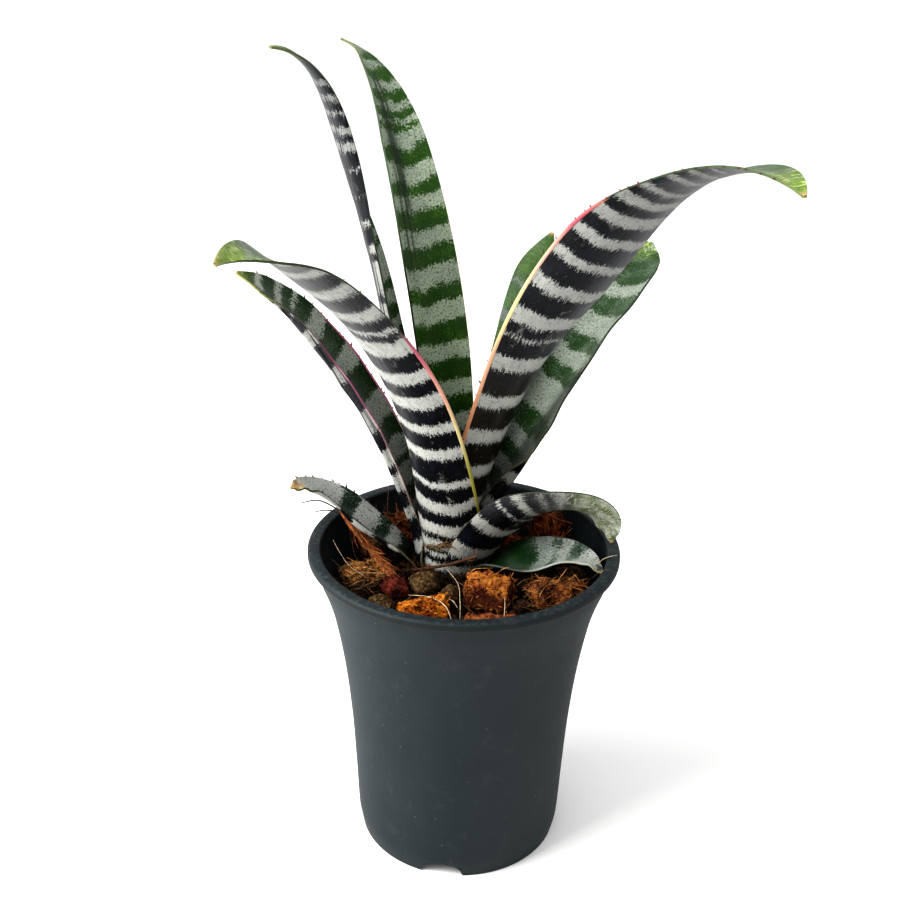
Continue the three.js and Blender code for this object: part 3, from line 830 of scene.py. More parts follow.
def sweep(
    bm: BMesh,
    path: Callable[[float], Vector],
    radius: Callable[[float], float],
    rows: int,
    sides: int,
    flat: float,
    up: Vector,
    dress: Callable[[BMVert, float, float], None],
) -> None:
    """Adds a closed tube along a path.

    Args:
        bm: the shape that the tube is added to.
        path: place of the tube's middle, from 0 to 1 along it.
        radius: half the tube's width, from 0 to 1 along it.
        rows: steps along the tube.
        sides: faces round the tube.
        flat: thickness as a share of the width.
        up: direction that the flat side faces.
        dress: stores a point's attributes from its place along and round the tube.
    """
    made = bmesh.ops.create_grid(bm, x_segments=sides, y_segments=rows, size=0.5)
    ends: dict[float, list[BMVert]] = {0.0: [], 1.0: []}
    for vert in made["verts"]:
        turn, t = vert.co.x + 0.5, vert.co.y + 0.5
        t = min(max(round(t * rows) / rows, 0.0), 1.0)
        step = 0.5 / rows
        forward = (path(min(t + step, 1.0)) - path(max(t - step, 0.0))).normalized()
        level = forward.cross(up).normalized()
        over = level.cross(forward)
        angle = 2 * math.pi * turn
        reach = level * math.cos(angle) + over * (math.sin(angle) * flat)
        vert.co = path(t) + reach * radius(t)
        dress(vert, t, turn)
        if t in ends:
            ends[t].append(vert)
    bmesh.ops.remove_doubles(bm, verts=made["verts"], dist=1e-4)
    for end in ends.values():
        linked = (edge for vert in end if vert.is_valid for edge in vert.link_edges)
        rim = dict.fromkeys(edge for edge in linked if edge.is_boundary)
        if len(rim) > 2:
            bmesh.ops.edgenet_fill(bm, edges=list(rim))


def curve_through(points: Sequence[Sequence[float]]) -> Callable[[float], Vector]:
    """Smooth path through points.

    Args:
        points: at least two places.

    Returns:
        A function from 0 to 1 that gives the place on the path.
    """
    columns = [[point[axis] for point in points] for axis in range(3)]
    return lambda t: Vector(along(column, t) for column in columns)


# Leaves

class Outline(Enum):
    """Half width of a blade along its length, as a share of its widest half."""

    BROAD = (1.12, 1.08, 1, 0.98, 1, 1, 0.97, 0.9, 0.77, 0.5, 0.04)
    ROUNDED = (1.12, 1.08, 1, 0.98, 1, 1.04, 1.1, 1.12, 1.04, 0.78, 0.05)
    TAPERED = (1.12, 1.08, 1, 0.98, 1, 1, 0.97, 0.9, 0.75, 0.34, 0.04)
    SLIM = (1.12, 1.08, 1, 0.98, 0.94, 0.88, 0.8, 0.68, 0.52, 0.3, 0.04)
    SMALL = (0.9, 0.95, 1, 1.02, 1.04, 1.04, 1, 0.92, 0.78, 0.5, 0.05)


class Fold(Enum):
    """Half the angle that a channelled blade wraps, in degrees at even steps from base to tip."""

    OPEN = (38, 38, 35, 30, 22, 10)
    DEEP = (60, 60, 54, 50, 42, 20)
    SMALL = (40, 40, 36, 30, 22, 10)
    ARCHED = (45, 42, 38, 30, 24, 10)


class MarginColour(Enum):
    """Colours of a leaf's margin from base to tip."""

    OLIVE_TO_PINK = (
        (0.00, (0.26, 0.24, 0.05)), (0.22, (0.30, 0.28, 0.06)), (0.32, (0.55, 0.46, 0.24)),
        (0.41, (0.56, 0.30, 0.23)), (0.50, (0.40, 0.11, 0.15)), (0.58, (0.09, 0.05, 0.06)),
        (0.80, (0.07, 0.08, 0.05)), (1.00, (0.45, 0.42, 0.10)),
    )
    SALMON_TO_ROSE = (
        (0.00, (0.38, 0.20, 0.08)), (0.22, (0.52, 0.24, 0.13)), (0.36, (0.60, 0.34, 0.22)),
        (0.46, (0.72, 0.60, 0.28)), (0.54, (0.62, 0.36, 0.28)), (0.62, (0.42, 0.09, 0.12)),
        (0.76, (0.26, 0.26, 0.08)), (1.00, (0.60, 0.44, 0.08)),
    )
    MAGENTA = (
        (0.00, (0.30, 0.26, 0.18)), (0.30, (0.62, 0.42, 0.40)), (0.50, (0.56, 0.14, 0.28)),
        (0.70, (0.46, 0.09, 0.20)), (0.82, (0.15, 0.13, 0.08)), (1.00, (0.50, 0.46, 0.10)),
    )
    DARK = (
        (0.00, (0.20, 0.17, 0.10)), (0.25, (0.10, 0.09, 0.05)), (0.42, (0.030, 0.040, 0.020)),
        (0.80, (0.020, 0.045, 0.015)), (0.92, (0.040, 0.065, 0.020)), (1.00, (0.12, 0.15, 0.05)),
    )
    FROSTED = (
        (0.00, (0.02, 0.03, 0.02)), (0.40, (0.03, 0.04, 0.03)), (0.62, (0.30, 0.32, 0.29)),
        (0.90, (0.36, 0.38, 0.32)), (1.00, (0.34, 0.28, 0.16)),
    )
    PALE = (
        (0.00, (0.36, 0.32, 0.20)), (0.30, (0.42, 0.40, 0.32)), (0.60, (0.26, 0.27, 0.22)),
        (0.85, (0.20, 0.25, 0.12)), (1.00, (0.34, 0.24, 0.08)),
    )
    CREAM = (
        (0.00, (0.40, 0.34, 0.18)), (0.35, (0.62, 0.46, 0.30)), (0.65, (0.60, 0.50, 0.28)),
        (0.85, (0.26, 0.32, 0.12)), (1.00, (0.22, 0.25, 0.14)),
    )


@dataclass(frozen=True)
class Margin:
    """Bead along one edge of a leaf: its colour, half its width, and how large its spines are.

    It thins out from the place thick_to to the place thin_from, both along the leaf from 0 to 1.
    """

    colour: MarginColour = MarginColour.DARK
    size: float = 0.36
    spines: float = 1.0
    thick_to: float = 0.60
    thin_from: float = 0.97


@dataclass(frozen=True)
class EdgeCurl:
    """Strip along one edge that is turned up over the upper side.

    The strip lies outside a share of the half width, and the turn is in degrees. It grows from start
    to full and fades from hold to end, all places along the leaf from 0 to 1.
    """

    edge: int
    share: float
    turn: float
    start: float
    full: float
    hold: float
    end: float

    def turn_at(self, t: float) -> float:
        """Turn in radians at t."""
        return math.radians(self.turn) * swell(t, self.start, self.full, self.hold, self.end)


@dataclass
class Leaf:
    """One leaf: a channelled blade whose base clasps the stem, with its margins and spines.

    Places run from 0 to 1 along the leaf (t) and from -1 to 1 across it (share). Angles are degrees at
    even steps from base to tip: rise above the horizontal, turn from the side that the base faces, and
    roll about the midrib. Bands are the silver ones, in millimetres from the base. The shade streak, a
    painted shadow on the upper side and a painted sheen with dark lines on the underside, holds its
    strength, its first and last place across, its half width, its start and its end. The painted sheen,
    a reflection painted into the underside towards one edge, holds its strength, its edge, its start and
    its end.
    """

    name: str
    shell: int
    side: float
    length: float
    width: float
    outline: Outline
    fold: Fold
    rise: tuple[float, ...]
    turn: tuple[float, ...]
    roll: tuple[float, ...]
    spined_rows: int
    bands: Bands
    margins: tuple[Margin, Margin]
    vivid: float
    bloom: tuple[float, float]
    frost: float = 0.0
    warm: float = 0.0
    softened: float = 0.0
    shade_streak: tuple[float, float, float, float, float, float] = (0.0, 0.0, 0.0, 1.0, 0.0, 1.0)
    slant: tuple[float, ...] = (0.0, 0.0)
    dark_base: float = 0.3
    dark_spines: bool = False
    lime: float = 0.0
    lime_start: float = 0.88
    dry: float = 0.0
    gloss: tuple[float, float, float, float] = (0.0, 0.0, 0.0, 0.0)
    crinkle: float = 0.0
    ripple: float = 0.0
    hook: tuple[float, float] = (0.0, 0.0)
    curls: tuple[EdgeCurl, ...] = ()

    first_shell: float = 5.6
    shell_pitch: float = 1.3
    sheath_level: float = 112.0
    sheath_share: float = 0.22
    clasp: float = 78.0
    blade_thickness: float = 0.9
    edge_thickness: float = 0.65
    sharp_angle: float = 60.0
    row_length: float = 1.3
    columns: int = 36
    spine_length: float = 1.35
    spine_base: float = 0.40
    spine_point: float = 0.02
    spine_lean: float = 0.55
    spine_inset: float = 0.3
    spine_start: float = 0.14
    spine_end: float = 0.95
    curl_rate: float = 1.6
    curl_chord: float = 0.62
    hook_start: float = 0.93
    ripple_length: float = 24.0
    stations: list[tuple[Vector, Vector, Vector]] = field(default_factory=list)

    @property
    def clasp_radius(self) -> float:
        """Radius of the shell that the base clasps."""
        return self.first_shell + self.shell_pitch * self.shell

    @property
    def rows(self) -> int:
        """Rows of faces along the blade."""
        return round(self.length / self.row_length)

    def find_midrib(self) -> None:
        """Works out the midrib: its place, upper side and right-hand side at each row."""
        steps = self.rows * 4
        side = math.radians(self.side)
        radius = self.clasp_radius
        place = Vector((
            STEM_PLACE.x + radius * math.cos(side),
            STEM_PLACE.y + radius * math.sin(side),
            self.sheath_level - self.shell,
        ))
        previous: Optional[Vector] = None
        for i in range(steps + 1):
            t = i / steps
            tip = max((t - self.hook_start) / (1 - self.hook_start), 0.0) ** 1.5
            rise = math.radians(along(self.rise, t) + self.hook[0] * tip)
            heading = side + math.radians(along(self.turn, t) + self.hook[1] * tip)
            roll = math.radians(along(self.roll, t))
            forward = Vector((
                math.cos(rise) * math.cos(heading),
                math.cos(rise) * math.sin(heading),
                math.sin(rise),
            ))
            level = Vector((math.sin(heading), -math.cos(heading), 0.0))
            right, upper = rolled(level, level.cross(forward), roll)
            if previous is not None:
                place = place + (previous + forward) * (self.length / steps / 2)
            previous = forward
            self.stations.append((place.copy(), upper, right))

    def station(self, t: float) -> tuple[Vector, Vector, Vector]:
        """Reads the midrib.

        Args:
            t: place along the leaf.

        Returns:
            The midrib's place, upper side and right-hand side there.
        """
        place = min(max(t, 0.0), 1.0) * (len(self.stations) - 1)
        i = min(int(place), len(self.stations) - 2)
        low, high = self.stations[i], self.stations[i + 1]
        return tuple(low[k].lerp(high[k], place - i) for k in range(3))

    def half_width(self, t: float) -> float:
        """Half the blade's width along its curve.

        Args:
            t: place along the leaf.

        Returns:
            The half width in millimetres.
        """
        full = 0.5 * self.width * max(along(self.outline.value, t), 0.02)
        return lerp(full, min(full, math.radians(self.clasp) * self.clasp_radius), self.sheath_at(t))

    def sheath_at(self, t: float) -> float:
        """How far the blade is still a sheath round the stem at t, from 1 to 0."""
        return smoothstep(0, 1, 1 - t / self.sheath_share)

    def point(self, t: float, share: float) -> tuple[Vector, Vector]:
        """Point of the blade's middle surface.

        Args:
            t: place along the leaf.
            share: place across it.

        Returns:
            The point and the direction that the upper side faces there.
        """
        place, upper, right = self.station(t)
        half = self.half_width(t)
        ease = self.sheath_at(t)
        wrap = half / self.clasp_radius * ease + math.radians(along(self.fold.value, t)) * (1 - ease)
        bend = half / wrap

        def arc_point(part: float) -> tuple[Vector, Vector]:
            """Follows the channel.

            Args:
                part: place across it.

            Returns:
                The point and the direction that the upper side faces there.
            """
            angle = part * wrap
            at = place + right * (bend * math.sin(angle)) + upper * (bend * (1 - math.cos(angle)))
            return at, upper * math.cos(angle) - right * math.sin(angle)

        at, normal = arc_point(share)
        for curl in self.curls:
            beyond = (share * curl.edge - curl.share) / (1 - curl.share)
            if beyond > 0:
                at, normal = arc_point(curl.share * curl.edge)
                outward = right * curl.edge
                outward = (outward - normal * outward.dot(normal)).normalized()
                turned = curl.turn_at(t) * min(beyond * self.curl_rate, 1.0)
                chord = turned * self.curl_chord
                reach = beyond * (1 - curl.share) * half
                at = at + (outward * math.cos(chord) + normal * math.sin(chord)) * reach
                normal = normal * math.cos(turned) - outward * math.sin(turned)
        return at + normal * self.unevenness(t, share), normal

    def unevenness(self, t: float, share: float) -> float:
        """Small waves of the blade, stronger at a crinkled end.

        Args:
            t: place along the leaf.
            share: place across it.

        Returns:
            The height of the waves in millimetres.
        """
        seed = 3.1 * self.shell + len(self.name)
        along_mm = t * self.length
        wave = 0.28 * noise.noise(Vector((share * 1.1, along_mm / 22, seed)))
        fine = 0.10 * noise.noise(Vector((share * 3.0, along_mm / 7, seed + 5)))
        ends = swell(t, 0.0, 0.12, 0.93, 1.0)
        end_wave = self.crinkle * smoothstep(0.84, 0.95, t) * math.sin(along_mm * 0.9 + 2 * share)
        swing = 2 * math.pi * along_mm / self.ripple_length + seed + 0.9 * share
        swing += 1.5 * noise.noise(Vector((along_mm / 30, seed, 2.0)))
        ripple = self.ripple * math.sin(swing) * smoothstep(0.15, 0.4, t) * share * share
        return (wave + fine + ripple) * ends + end_wave * smoothstep(1.0, 0.97, t) * abs(share)

    def painted_sheen_at(self, t: float, share: float) -> float:
        """How far the bands fade into painted sheen, a painted reflection, towards one edge.

        Args:
            t: place along the leaf.
            share: place across it.

        Returns:
            The strength of the painted sheen.
        """
        strength, edge, start, end = self.gloss
        shown = strength * swell(t, start, start + 0.12, end - 0.15, end)
        return shown * smoothstep(0.15, 0.95, share * edge)

    def shade_streak_at(self, t: float, share: float) -> float:
        """Strength of the shade streak: painted shadow on top, painted sheen and dark lines beneath.

        Args:
            t: place along the leaf.
            share: place across it.

        Returns:
            The strength of the shade streak.
        """
        strength, first, last, half, start, end = self.shade_streak
        middle = lerp(first, last, smoothstep(start, (start + end) / 2, t))
        shown = strength * swell(t, start, start + 0.06, end - 0.06, end)
        return shown * smoothstep(half, half * 0.4, abs(share - middle))

    def band_edge(self, along_mm: float, share: float) -> float:
        """Distance to the edge of the nearest silver band.

        Args:
            along_mm: place along the leaf in millimetres.
            share: place across it.

        Returns:
            The distance in millimetres, below zero outside the band.
        """
        seed = 1.7 * self.shell + 0.31 * len(self.name)
        drift = 1.5 * noise.noise(Vector((share * 1.4, along_mm / 26, seed)))
        drift += 0.6 * noise.noise(Vector((share * 4.0, along_mm / 9, seed + 3)))
        drift += share * share + share * along(self.slant, along_mm / self.length)
        at = along_mm - drift
        return max(min((at - start) * 0.75, end - at) for start, end in self.bands)

    def numbers_at(self, t: float, share: float) -> dict[str, float]:
        """Numbers that the blade's finishes read at a point.

        Args:
            t: place along the leaf.
            share: place across it.

        Returns:
            Each number by its attribute's name.
        """
        return {
            "t": t,
            "edge": self.band_edge(t * self.length, share),
            "frost": self.frost * smoothstep(self.dark_base - 0.2, self.dark_base + 0.05, t),
            "vivid": self.vivid * smoothstep(0.0, 0.4, t),
            "warm": self.warm * smoothstep(0.42, 0.25, t),
            "dry": max(self.dry * smoothstep(0.86, 0.95, t), smoothstep(0.988, 0.998, t)),
            "soft": self.softened * smoothstep(0.42, 0.75, t),
            "streaked": self.shade_streak_at(t, share),
            "lime": self.lime * smoothstep(self.lime_start, self.lime_start + 0.08, t),
            "gloss": self.painted_sheen_at(t, share),
            "bloom": lerp(*self.bloom, t),
        }

    def build_blade(self, finishes: Sequence[Material]) -> None:
        """Makes the blade.

        Args:
            finishes: the materials of its upper side, its underside and its rim.
        """
        bm = bmesh.new()
        names = list(self.numbers_at(0.0, 0.0))
        for name in names:
            bm.verts.layers.float.new(name)
        layers = {name: bm.verts.layers.float[name] for name in names}
        weights = bm.verts.layers.deform.verify()
        uv = bm.loops.layers.uv.new("blade")
        made = bmesh.ops.create_grid(bm, x_segments=self.columns, y_segments=self.rows, size=0.5)
        where: dict[BMVert, tuple[float, float]] = {}
        for vert in made["verts"]:
            share = math.sin(vert.co.x * math.pi)
            t = min(max(vert.co.y + 0.5, 0.0), 1.0)
            where[vert] = (share * self.half_width(t), t * self.length)
            vert.co, _ = self.point(t, share)
            for name, value in self.numbers_at(t, share).items():
                vert[layers[name]] = value
            thinness = max(share * share, t * t)
            vert[weights][0] = lerp(1.0, self.edge_thickness / self.blade_thickness, thinness)
        for face in bm.faces:
            for loop in face.loops:
                loop[uv].uv = where[loop.vert]
        bm.normal_update()
        middle = min(bm.faces, key=lambda face: math.dist(where[face.verts[0]], (0.0, self.length / 2)))
        t = where[middle.verts[0]][1] / self.length
        if middle.normal.dot(self.station(t)[1]) < 0:
            bmesh.ops.reverse_faces(bm, faces=bm.faces)
        piece = piece_of(f"{self.name}_blade", bm, finishes, self.sharp_angle)
        piece.vertex_groups.new(name="thickness")
        solid = piece.modifiers.new("thickness", "SOLIDIFY")
        solid.thickness = self.blade_thickness * MM
        solid.offset = 0.0
        solid.vertex_group = "thickness"
        solid.thickness_vertex_group = 0.5
        solid.material_offset = 1
        solid.material_offset_rim = 2
        settle(piece)
        piece.data.set_sharp_from_angle(angle=math.radians(self.sharp_angle))
        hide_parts(self.name)

    def margin_path(self, edge: int, inset: float) -> Callable[[float], Vector]:
        """Line that a margin bead follows, a little inside the blade's edge.

        Args:
            edge: -1 for the left edge, 1 for the right one.
            inset: distance from the edge in millimetres.

        Returns:
            A function from 0 to 1 that gives the place on the line.
        """
        return lambda t: self.point(t, edge * max(1 - inset / self.half_width(t), 0.0))[0]

    def bead_radius(self, margin: Margin, t: float) -> float:
        """Half the width of a margin bead at t."""
        size = lerp(0.30, margin.size, swell(t, 0.02, 0.2, margin.thick_to, margin.thin_from))
        return min(size, max(self.half_width(t), 0.2))

    def build_margins(self, finishes: dict[MarginColour, Material]) -> None:
        """Makes the beads along both margins.

        Args:
            finishes: the material of each margin colour.
        """
        bm = bmesh.new()
        bm.verts.layers.float.new("t")
        bm.verts.layers.float_vector.new("mark")
        t_layer, mark = bm.verts.layers.float["t"], bm.verts.layers.float_vector["mark"]
        uv = bm.loops.layers.uv.new("blade")
        upper = self.station(0.5)[1]
        for number, (edge, margin) in enumerate(zip(BOTH_EDGES, self.margins)):

            def dress(vert: BMVert, t: float, turn: float) -> None:
                """Stores the place along and round the bead."""
                vert[t_layer] = t
                vert[mark] = Vector((turn * 2 * math.pi * margin.size, t * self.length, 0.0))

            path = self.margin_path(edge, 0.55 * margin.size)
            before = set(bm.faces)
            sweep(bm, path, lambda t: self.bead_radius(margin, t), self.rows, 10, 0.8, upper, dress)
            for face in set(bm.faces) - before:
                face.material_index = number
        for face in bm.faces:
            for loop in face.loops:
                loop[uv].uv = loop.vert[mark].xy
        bmesh.ops.recalc_face_normals(bm, faces=bm.faces)
        colours = [finishes[margin.colour] for margin in self.margins]
        piece_of(f"{self.name}_margins", bm, colours, 80.0)

    def build_spines(self, finish: Material) -> None:
        """Makes the spines of both margins, leaning towards the tip.

        Args:
            finish: the spines' material.
        """
        bm = bmesh.new()
        reach = bm.verts.layers.float.new("reach")
        draw = random.Random(self.shell * 41 + len(self.name))
        for number in range(2 * self.spined_rows):
            t = (number + 0.5) / (2 * self.spined_rows)
            if not self.spine_start < t < self.spine_end:
                continue
            for edge, margin in zip(BOTH_EDGES, self.margins):
                here = t + draw.uniform(-0.2, 0.2) / self.spined_rows
                size = self.spine_length * draw.uniform(0.6, 1.0) * (1.0 if number % 2 else 0.8)
                size = size * margin.spines + 0.5 * (margin.size - 0.3)
                root, _ = self.point(here, edge * (1 - self.spine_inset / self.half_width(here)))
                inner, _ = self.point(here, edge * 0.8)
                onward, _ = self.point(here + 0.01, edge)
                outward = (root - inner).normalized()
                forward = (onward - root).normalized()
                across = outward.cross(forward).normalized()
                sweep(
                    bm,
                    lambda h: root + outward * (h * size) + forward * (self.spine_lean * size * h ** 1.6),
                    lambda h: lerp(self.spine_base, self.spine_point, h) * size,
                    3, 6, 0.6, across,
                    lambda vert, h, turn: vert.__setitem__(reach, h),
                )
        bmesh.ops.recalc_face_normals(bm, faces=bm.faces)
        piece_of(f"{self.name}_spines", bm, [finish], 70.0)


LEAVES = (
    Leaf(
        "leaf_tall_back", 0, 114, 214, 24.5, Outline.BROAD, Fold.OPEN,
        (90, 87, 77, 70, 58, 27), (0, 7, 12, 12, 11, 25), (0, 1, 4, -2, -10), 20,
        ((20, 27), (36, 42), (50, 57), (65, 71), (79, 86), (94, 102), (108, 116), (123, 130), (137, 143),
         (148, 155), (161, 168), (171, 173), (176, 180), (184, 189), (195, 199), (203, 208)),
        (Margin(size=0.3, spines=0.5), Margin(MarginColour.CREAM, 0.45, 0.5, 0.4, 0.8)),
        frost=0.10, vivid=1.0, shade_streak=(1.0, -0.62, -0.45, 0.36, 0.50, 0.93), lime=0.12, lime_start=0.93,
        bloom=(1.25, 0.3), hook=(-6, 48),
    ),
    Leaf(
        "leaf_tall_folded", 1, 171, 226, 22, Outline.SLIM, Fold.DEEP,
        (90, 75, 78, 75, 64, 6), (0, 0, 27, 39, 70, 72), (0, 8, 28, 18, 21), 20,
        ((14, 22), (34, 42), (56, 63), (76, 82), (94, 99), (104, 110), (113, 127), (129, 133), (139, 142),
         (150.7, 151.5), (159.9, 161.5), (167, 171.4), (174, 177.7), (181.4, 184.2), (188, 191.2),
         (194.8, 198.6)),
        (Margin(size=0.3, spines=0.4), Margin(size=0.3, spines=0.4)),
        frost=0.35, vivid=0.7, warm=0.35, shade_streak=(1.0, -0.85, 0.15, 0.80, 0.38, 0.97), lime=0.75,
        lime_start=0.93, bloom=(0.75, 0.1),
    ),
    Leaf(
        "leaf_back_right", 2, 54, 135, 22, Outline.ROUNDED, Fold.OPEN,
        (90, 76, 69, 67, 64, 50), (0, -8, -12, -12, -6, -2), (0, 18, 28, 22, -6), 16,
        ((16, 24), (36, 44), (56, 63), (77, 82), (95, 100), (110, 113)),
        (Margin(size=0.32, spines=0.5), Margin(size=0.32, spines=0.5)),
        vivid=1.0, lime=0.06, lime_start=0.80, bloom=(0.3, -0.6),
    ),
    Leaf(
        "leaf_right_wide", 3, 332, 252, 30, Outline.BROAD, Fold.OPEN,
        (90, 75, 65, 48, 23, -13), (0, 1, 2, -20, -22, -60), (0, 16, 40, 12, -5), 24,
        ((8, 14), (26, 32), (41, 47), (56, 63), (72, 78), (88, 95), (102, 104), (108, 115), (123, 129),
         (137, 142), (150, 156), (162, 169), (174, 180), (184, 188), (194, 198), (202, 206), (211, 214),
         (228, 231), (238, 240)),
        (Margin(size=0.34, spines=0.3), Margin(MarginColour.SALMON_TO_ROSE, 0.85, 1.1, 0.60, 0.74)),
        vivid=0.8, warm=0.9, softened=0.25, lime=1.0, lime_start=0.885, gloss=(0.95, -1.0, 0.22, 0.80),
        bloom=(1.05, -0.05),
    ),
    Leaf(
        "leaf_right_curled", 4, 17, 162, 28.5, Outline.BROAD, Fold.OPEN,
        (90, 63, 62, 59, 49, 30, 12), (0, -8, -1, 4, 15, 43, 84), (0, -5, 0, 12, 3), 18,
        ((24, 30), (38, 44), (50, 58), (67, 82), (89, 96), (103, 113), (122, 129), (150, 152)),
        (Margin(size=0.34, spines=0.4), Margin(size=0.36, spines=0.5)),
        frost=0.55, vivid=0.6, lime=0.60, lime_start=0.87, crinkle=1.1, ripple=0.35, bloom=(0.25, 0.55),
        curls=(EdgeCurl(1, 0.62, 120, 0.04, 0.12, 0.22, 0.36),),
    ),
    Leaf(
        "leaf_left_wide", 5, 259, 218, 28.5, Outline.TAPERED, Fold.OPEN,
        (90, 75, 61, 46, 28.5, -1.5), (0, -24, -33, -34, -15, 8), (0, -9, -10, -0.5, 55), 22,
        ((2, 6), (8, 11), (12, 17), (19, 25), (30, 36), (42, 46), (56, 62), (69, 74), (81, 88), (94, 101),
         (109, 118), (121, 124), (129, 136), (144, 151), (159, 166), (174, 180), (189, 194)),
        (Margin(MarginColour.OLIVE_TO_PINK, 0.85, 0.8, 0.48, 0.60), Margin(MarginColour.PALE, 0.34, 0.2)),
        frost=0.3, vivid=0.8, softened=0.8, lime=1.2, lime_start=0.85, gloss=(0.5, 1.0, 0.35, 0.95),
        bloom=(0.95, 0.25), slant=(-1, -1, -1, 0, -5, -8),
    ),
    Leaf(
        "leaf_left_upper", 6, 161, 147, 25, Outline.BROAD, Fold.OPEN,
        (90, 70, 63, 57, 49, 30), (0, 2, 12, 22, 41, 63), (0, 7, 13, 27, 41), 16,
        ((8, 14), (22, 27), (33, 41), (44, 52), (60, 71), (84, 93), (103, 111), (118, 120), (125, 129),
         (135, 139)),
        (Margin(MarginColour.MAGENTA, 0.42, 0.6), Margin(MarginColour.MAGENTA, 0.6, 1.3)),
        frost=0.30, vivid=0.35, lime=0.6, lime_start=0.92, ripple=0.3, bloom=(0.3, 1.0),
        shade_streak=(0.9, -1.0, -1.0, 0.6, 0.38, 0.98), curls=(EdgeCurl(-1, 0.72, 125, 0.04, 0.12, 0.80, 0.96),),
    ),
    Leaf(
        "leaf_small_arching", 7, 308, 92, 22, Outline.BROAD, Fold.ARCHED,
        (90, 60, 45, 16, -29, -89), (0, 11, 24, 41, 68, 94), (0, 37, 47, 41, 35), 14,
        ((4, 8), (11, 18), (27, 33), (40, 42), (46, 50), (54, 56), (59, 62), (65, 68), (71, 74), (78, 81),
         (86, 89)),
        (Margin(MarginColour.PALE, 0.36, 0.6), Margin(size=0.36, spines=0.7)),
        frost=0.9, vivid=0.4, softened=1.6, lime=0.45, lime_start=0.66, crinkle=0.8, ripple=0.6,
        gloss=(0.5, 1.0, 0.30, 0.70), bloom=(0.3, 1.7),
    ),
    Leaf(
        "leaf_small_right", 8, 327, 60.5, 17.5, Outline.SMALL, Fold.SMALL,
        (90, 35, 18, 18, 2, -25), (0, -3, 10, 18, 2, -24), (0, -6, -24, -7, 11), 10,
        ((31, 37), (39, 44), (48, 57)),
        (Margin(size=0.3, spines=0.5), Margin(MarginColour.FROSTED, 0.55, 0.4, 0.9, 1.2)),
        frost=0.9, vivid=0.15, ripple=0.15, crinkle=0.7, bloom=(-1.7, 1.25), dark_base=0.58,
    ),
    Leaf(
        "leaf_small_left", 8, 200, 73, 15.5, Outline.SMALL, Fold.SMALL,
        (90, 46, 42, 43, 32, 7), (0, -10, -17, -10, 17, 53), (0, 12, 21, 21, 16), 11,
        ((15, 21), (27, 38), (45, 68)),
        (Margin(size=0.3, spines=0.9), Margin(size=0.32, spines=1.4)),
        frost=0.45, vivid=0.0, dry=1.0, crinkle=0.9, ripple=0.5, bloom=(0.2, 1.6), dark_spines=True,
        curls=(EdgeCurl(-1, 0.80, 120, 0.16, 0.30, 0.80, 0.94),),
    ),
)


@dataclass
class Rosette:
    """The plant: ten leaves round a short stem."""

    leaves: tuple[Leaf, ...] = LEAVES

    def build(self) -> None:
        """Makes every leaf and dresses the stem."""
        rim = MarginFinish("rim", MarginColour.DARK.value).material()
        blade = [BladeUpperSide().material(), BladeUnderside().material(), rim]
        margins = {
            colour: MarginFinish(colour.name.lower(), colour.value).material() for colour in MarginColour
        }
        red = SpineFinish().material()
        dark = SpineFinish("spine_dark", (0.040, 0.020, 0.018), (0.008, 0.006, 0.006)).material()
        for leaf in self.leaves:
            leaf.find_midrib()
            leaf.build_blade(blade)
            leaf.build_margins(margins)
            leaf.build_spines(dark if leaf.dark_spines else red)
        skin = StemFinish().material()
        for slot in frame["nodes"]["stem"].material_slots:
            slot.material = skin
        log.info("stem dressed")


# Pot

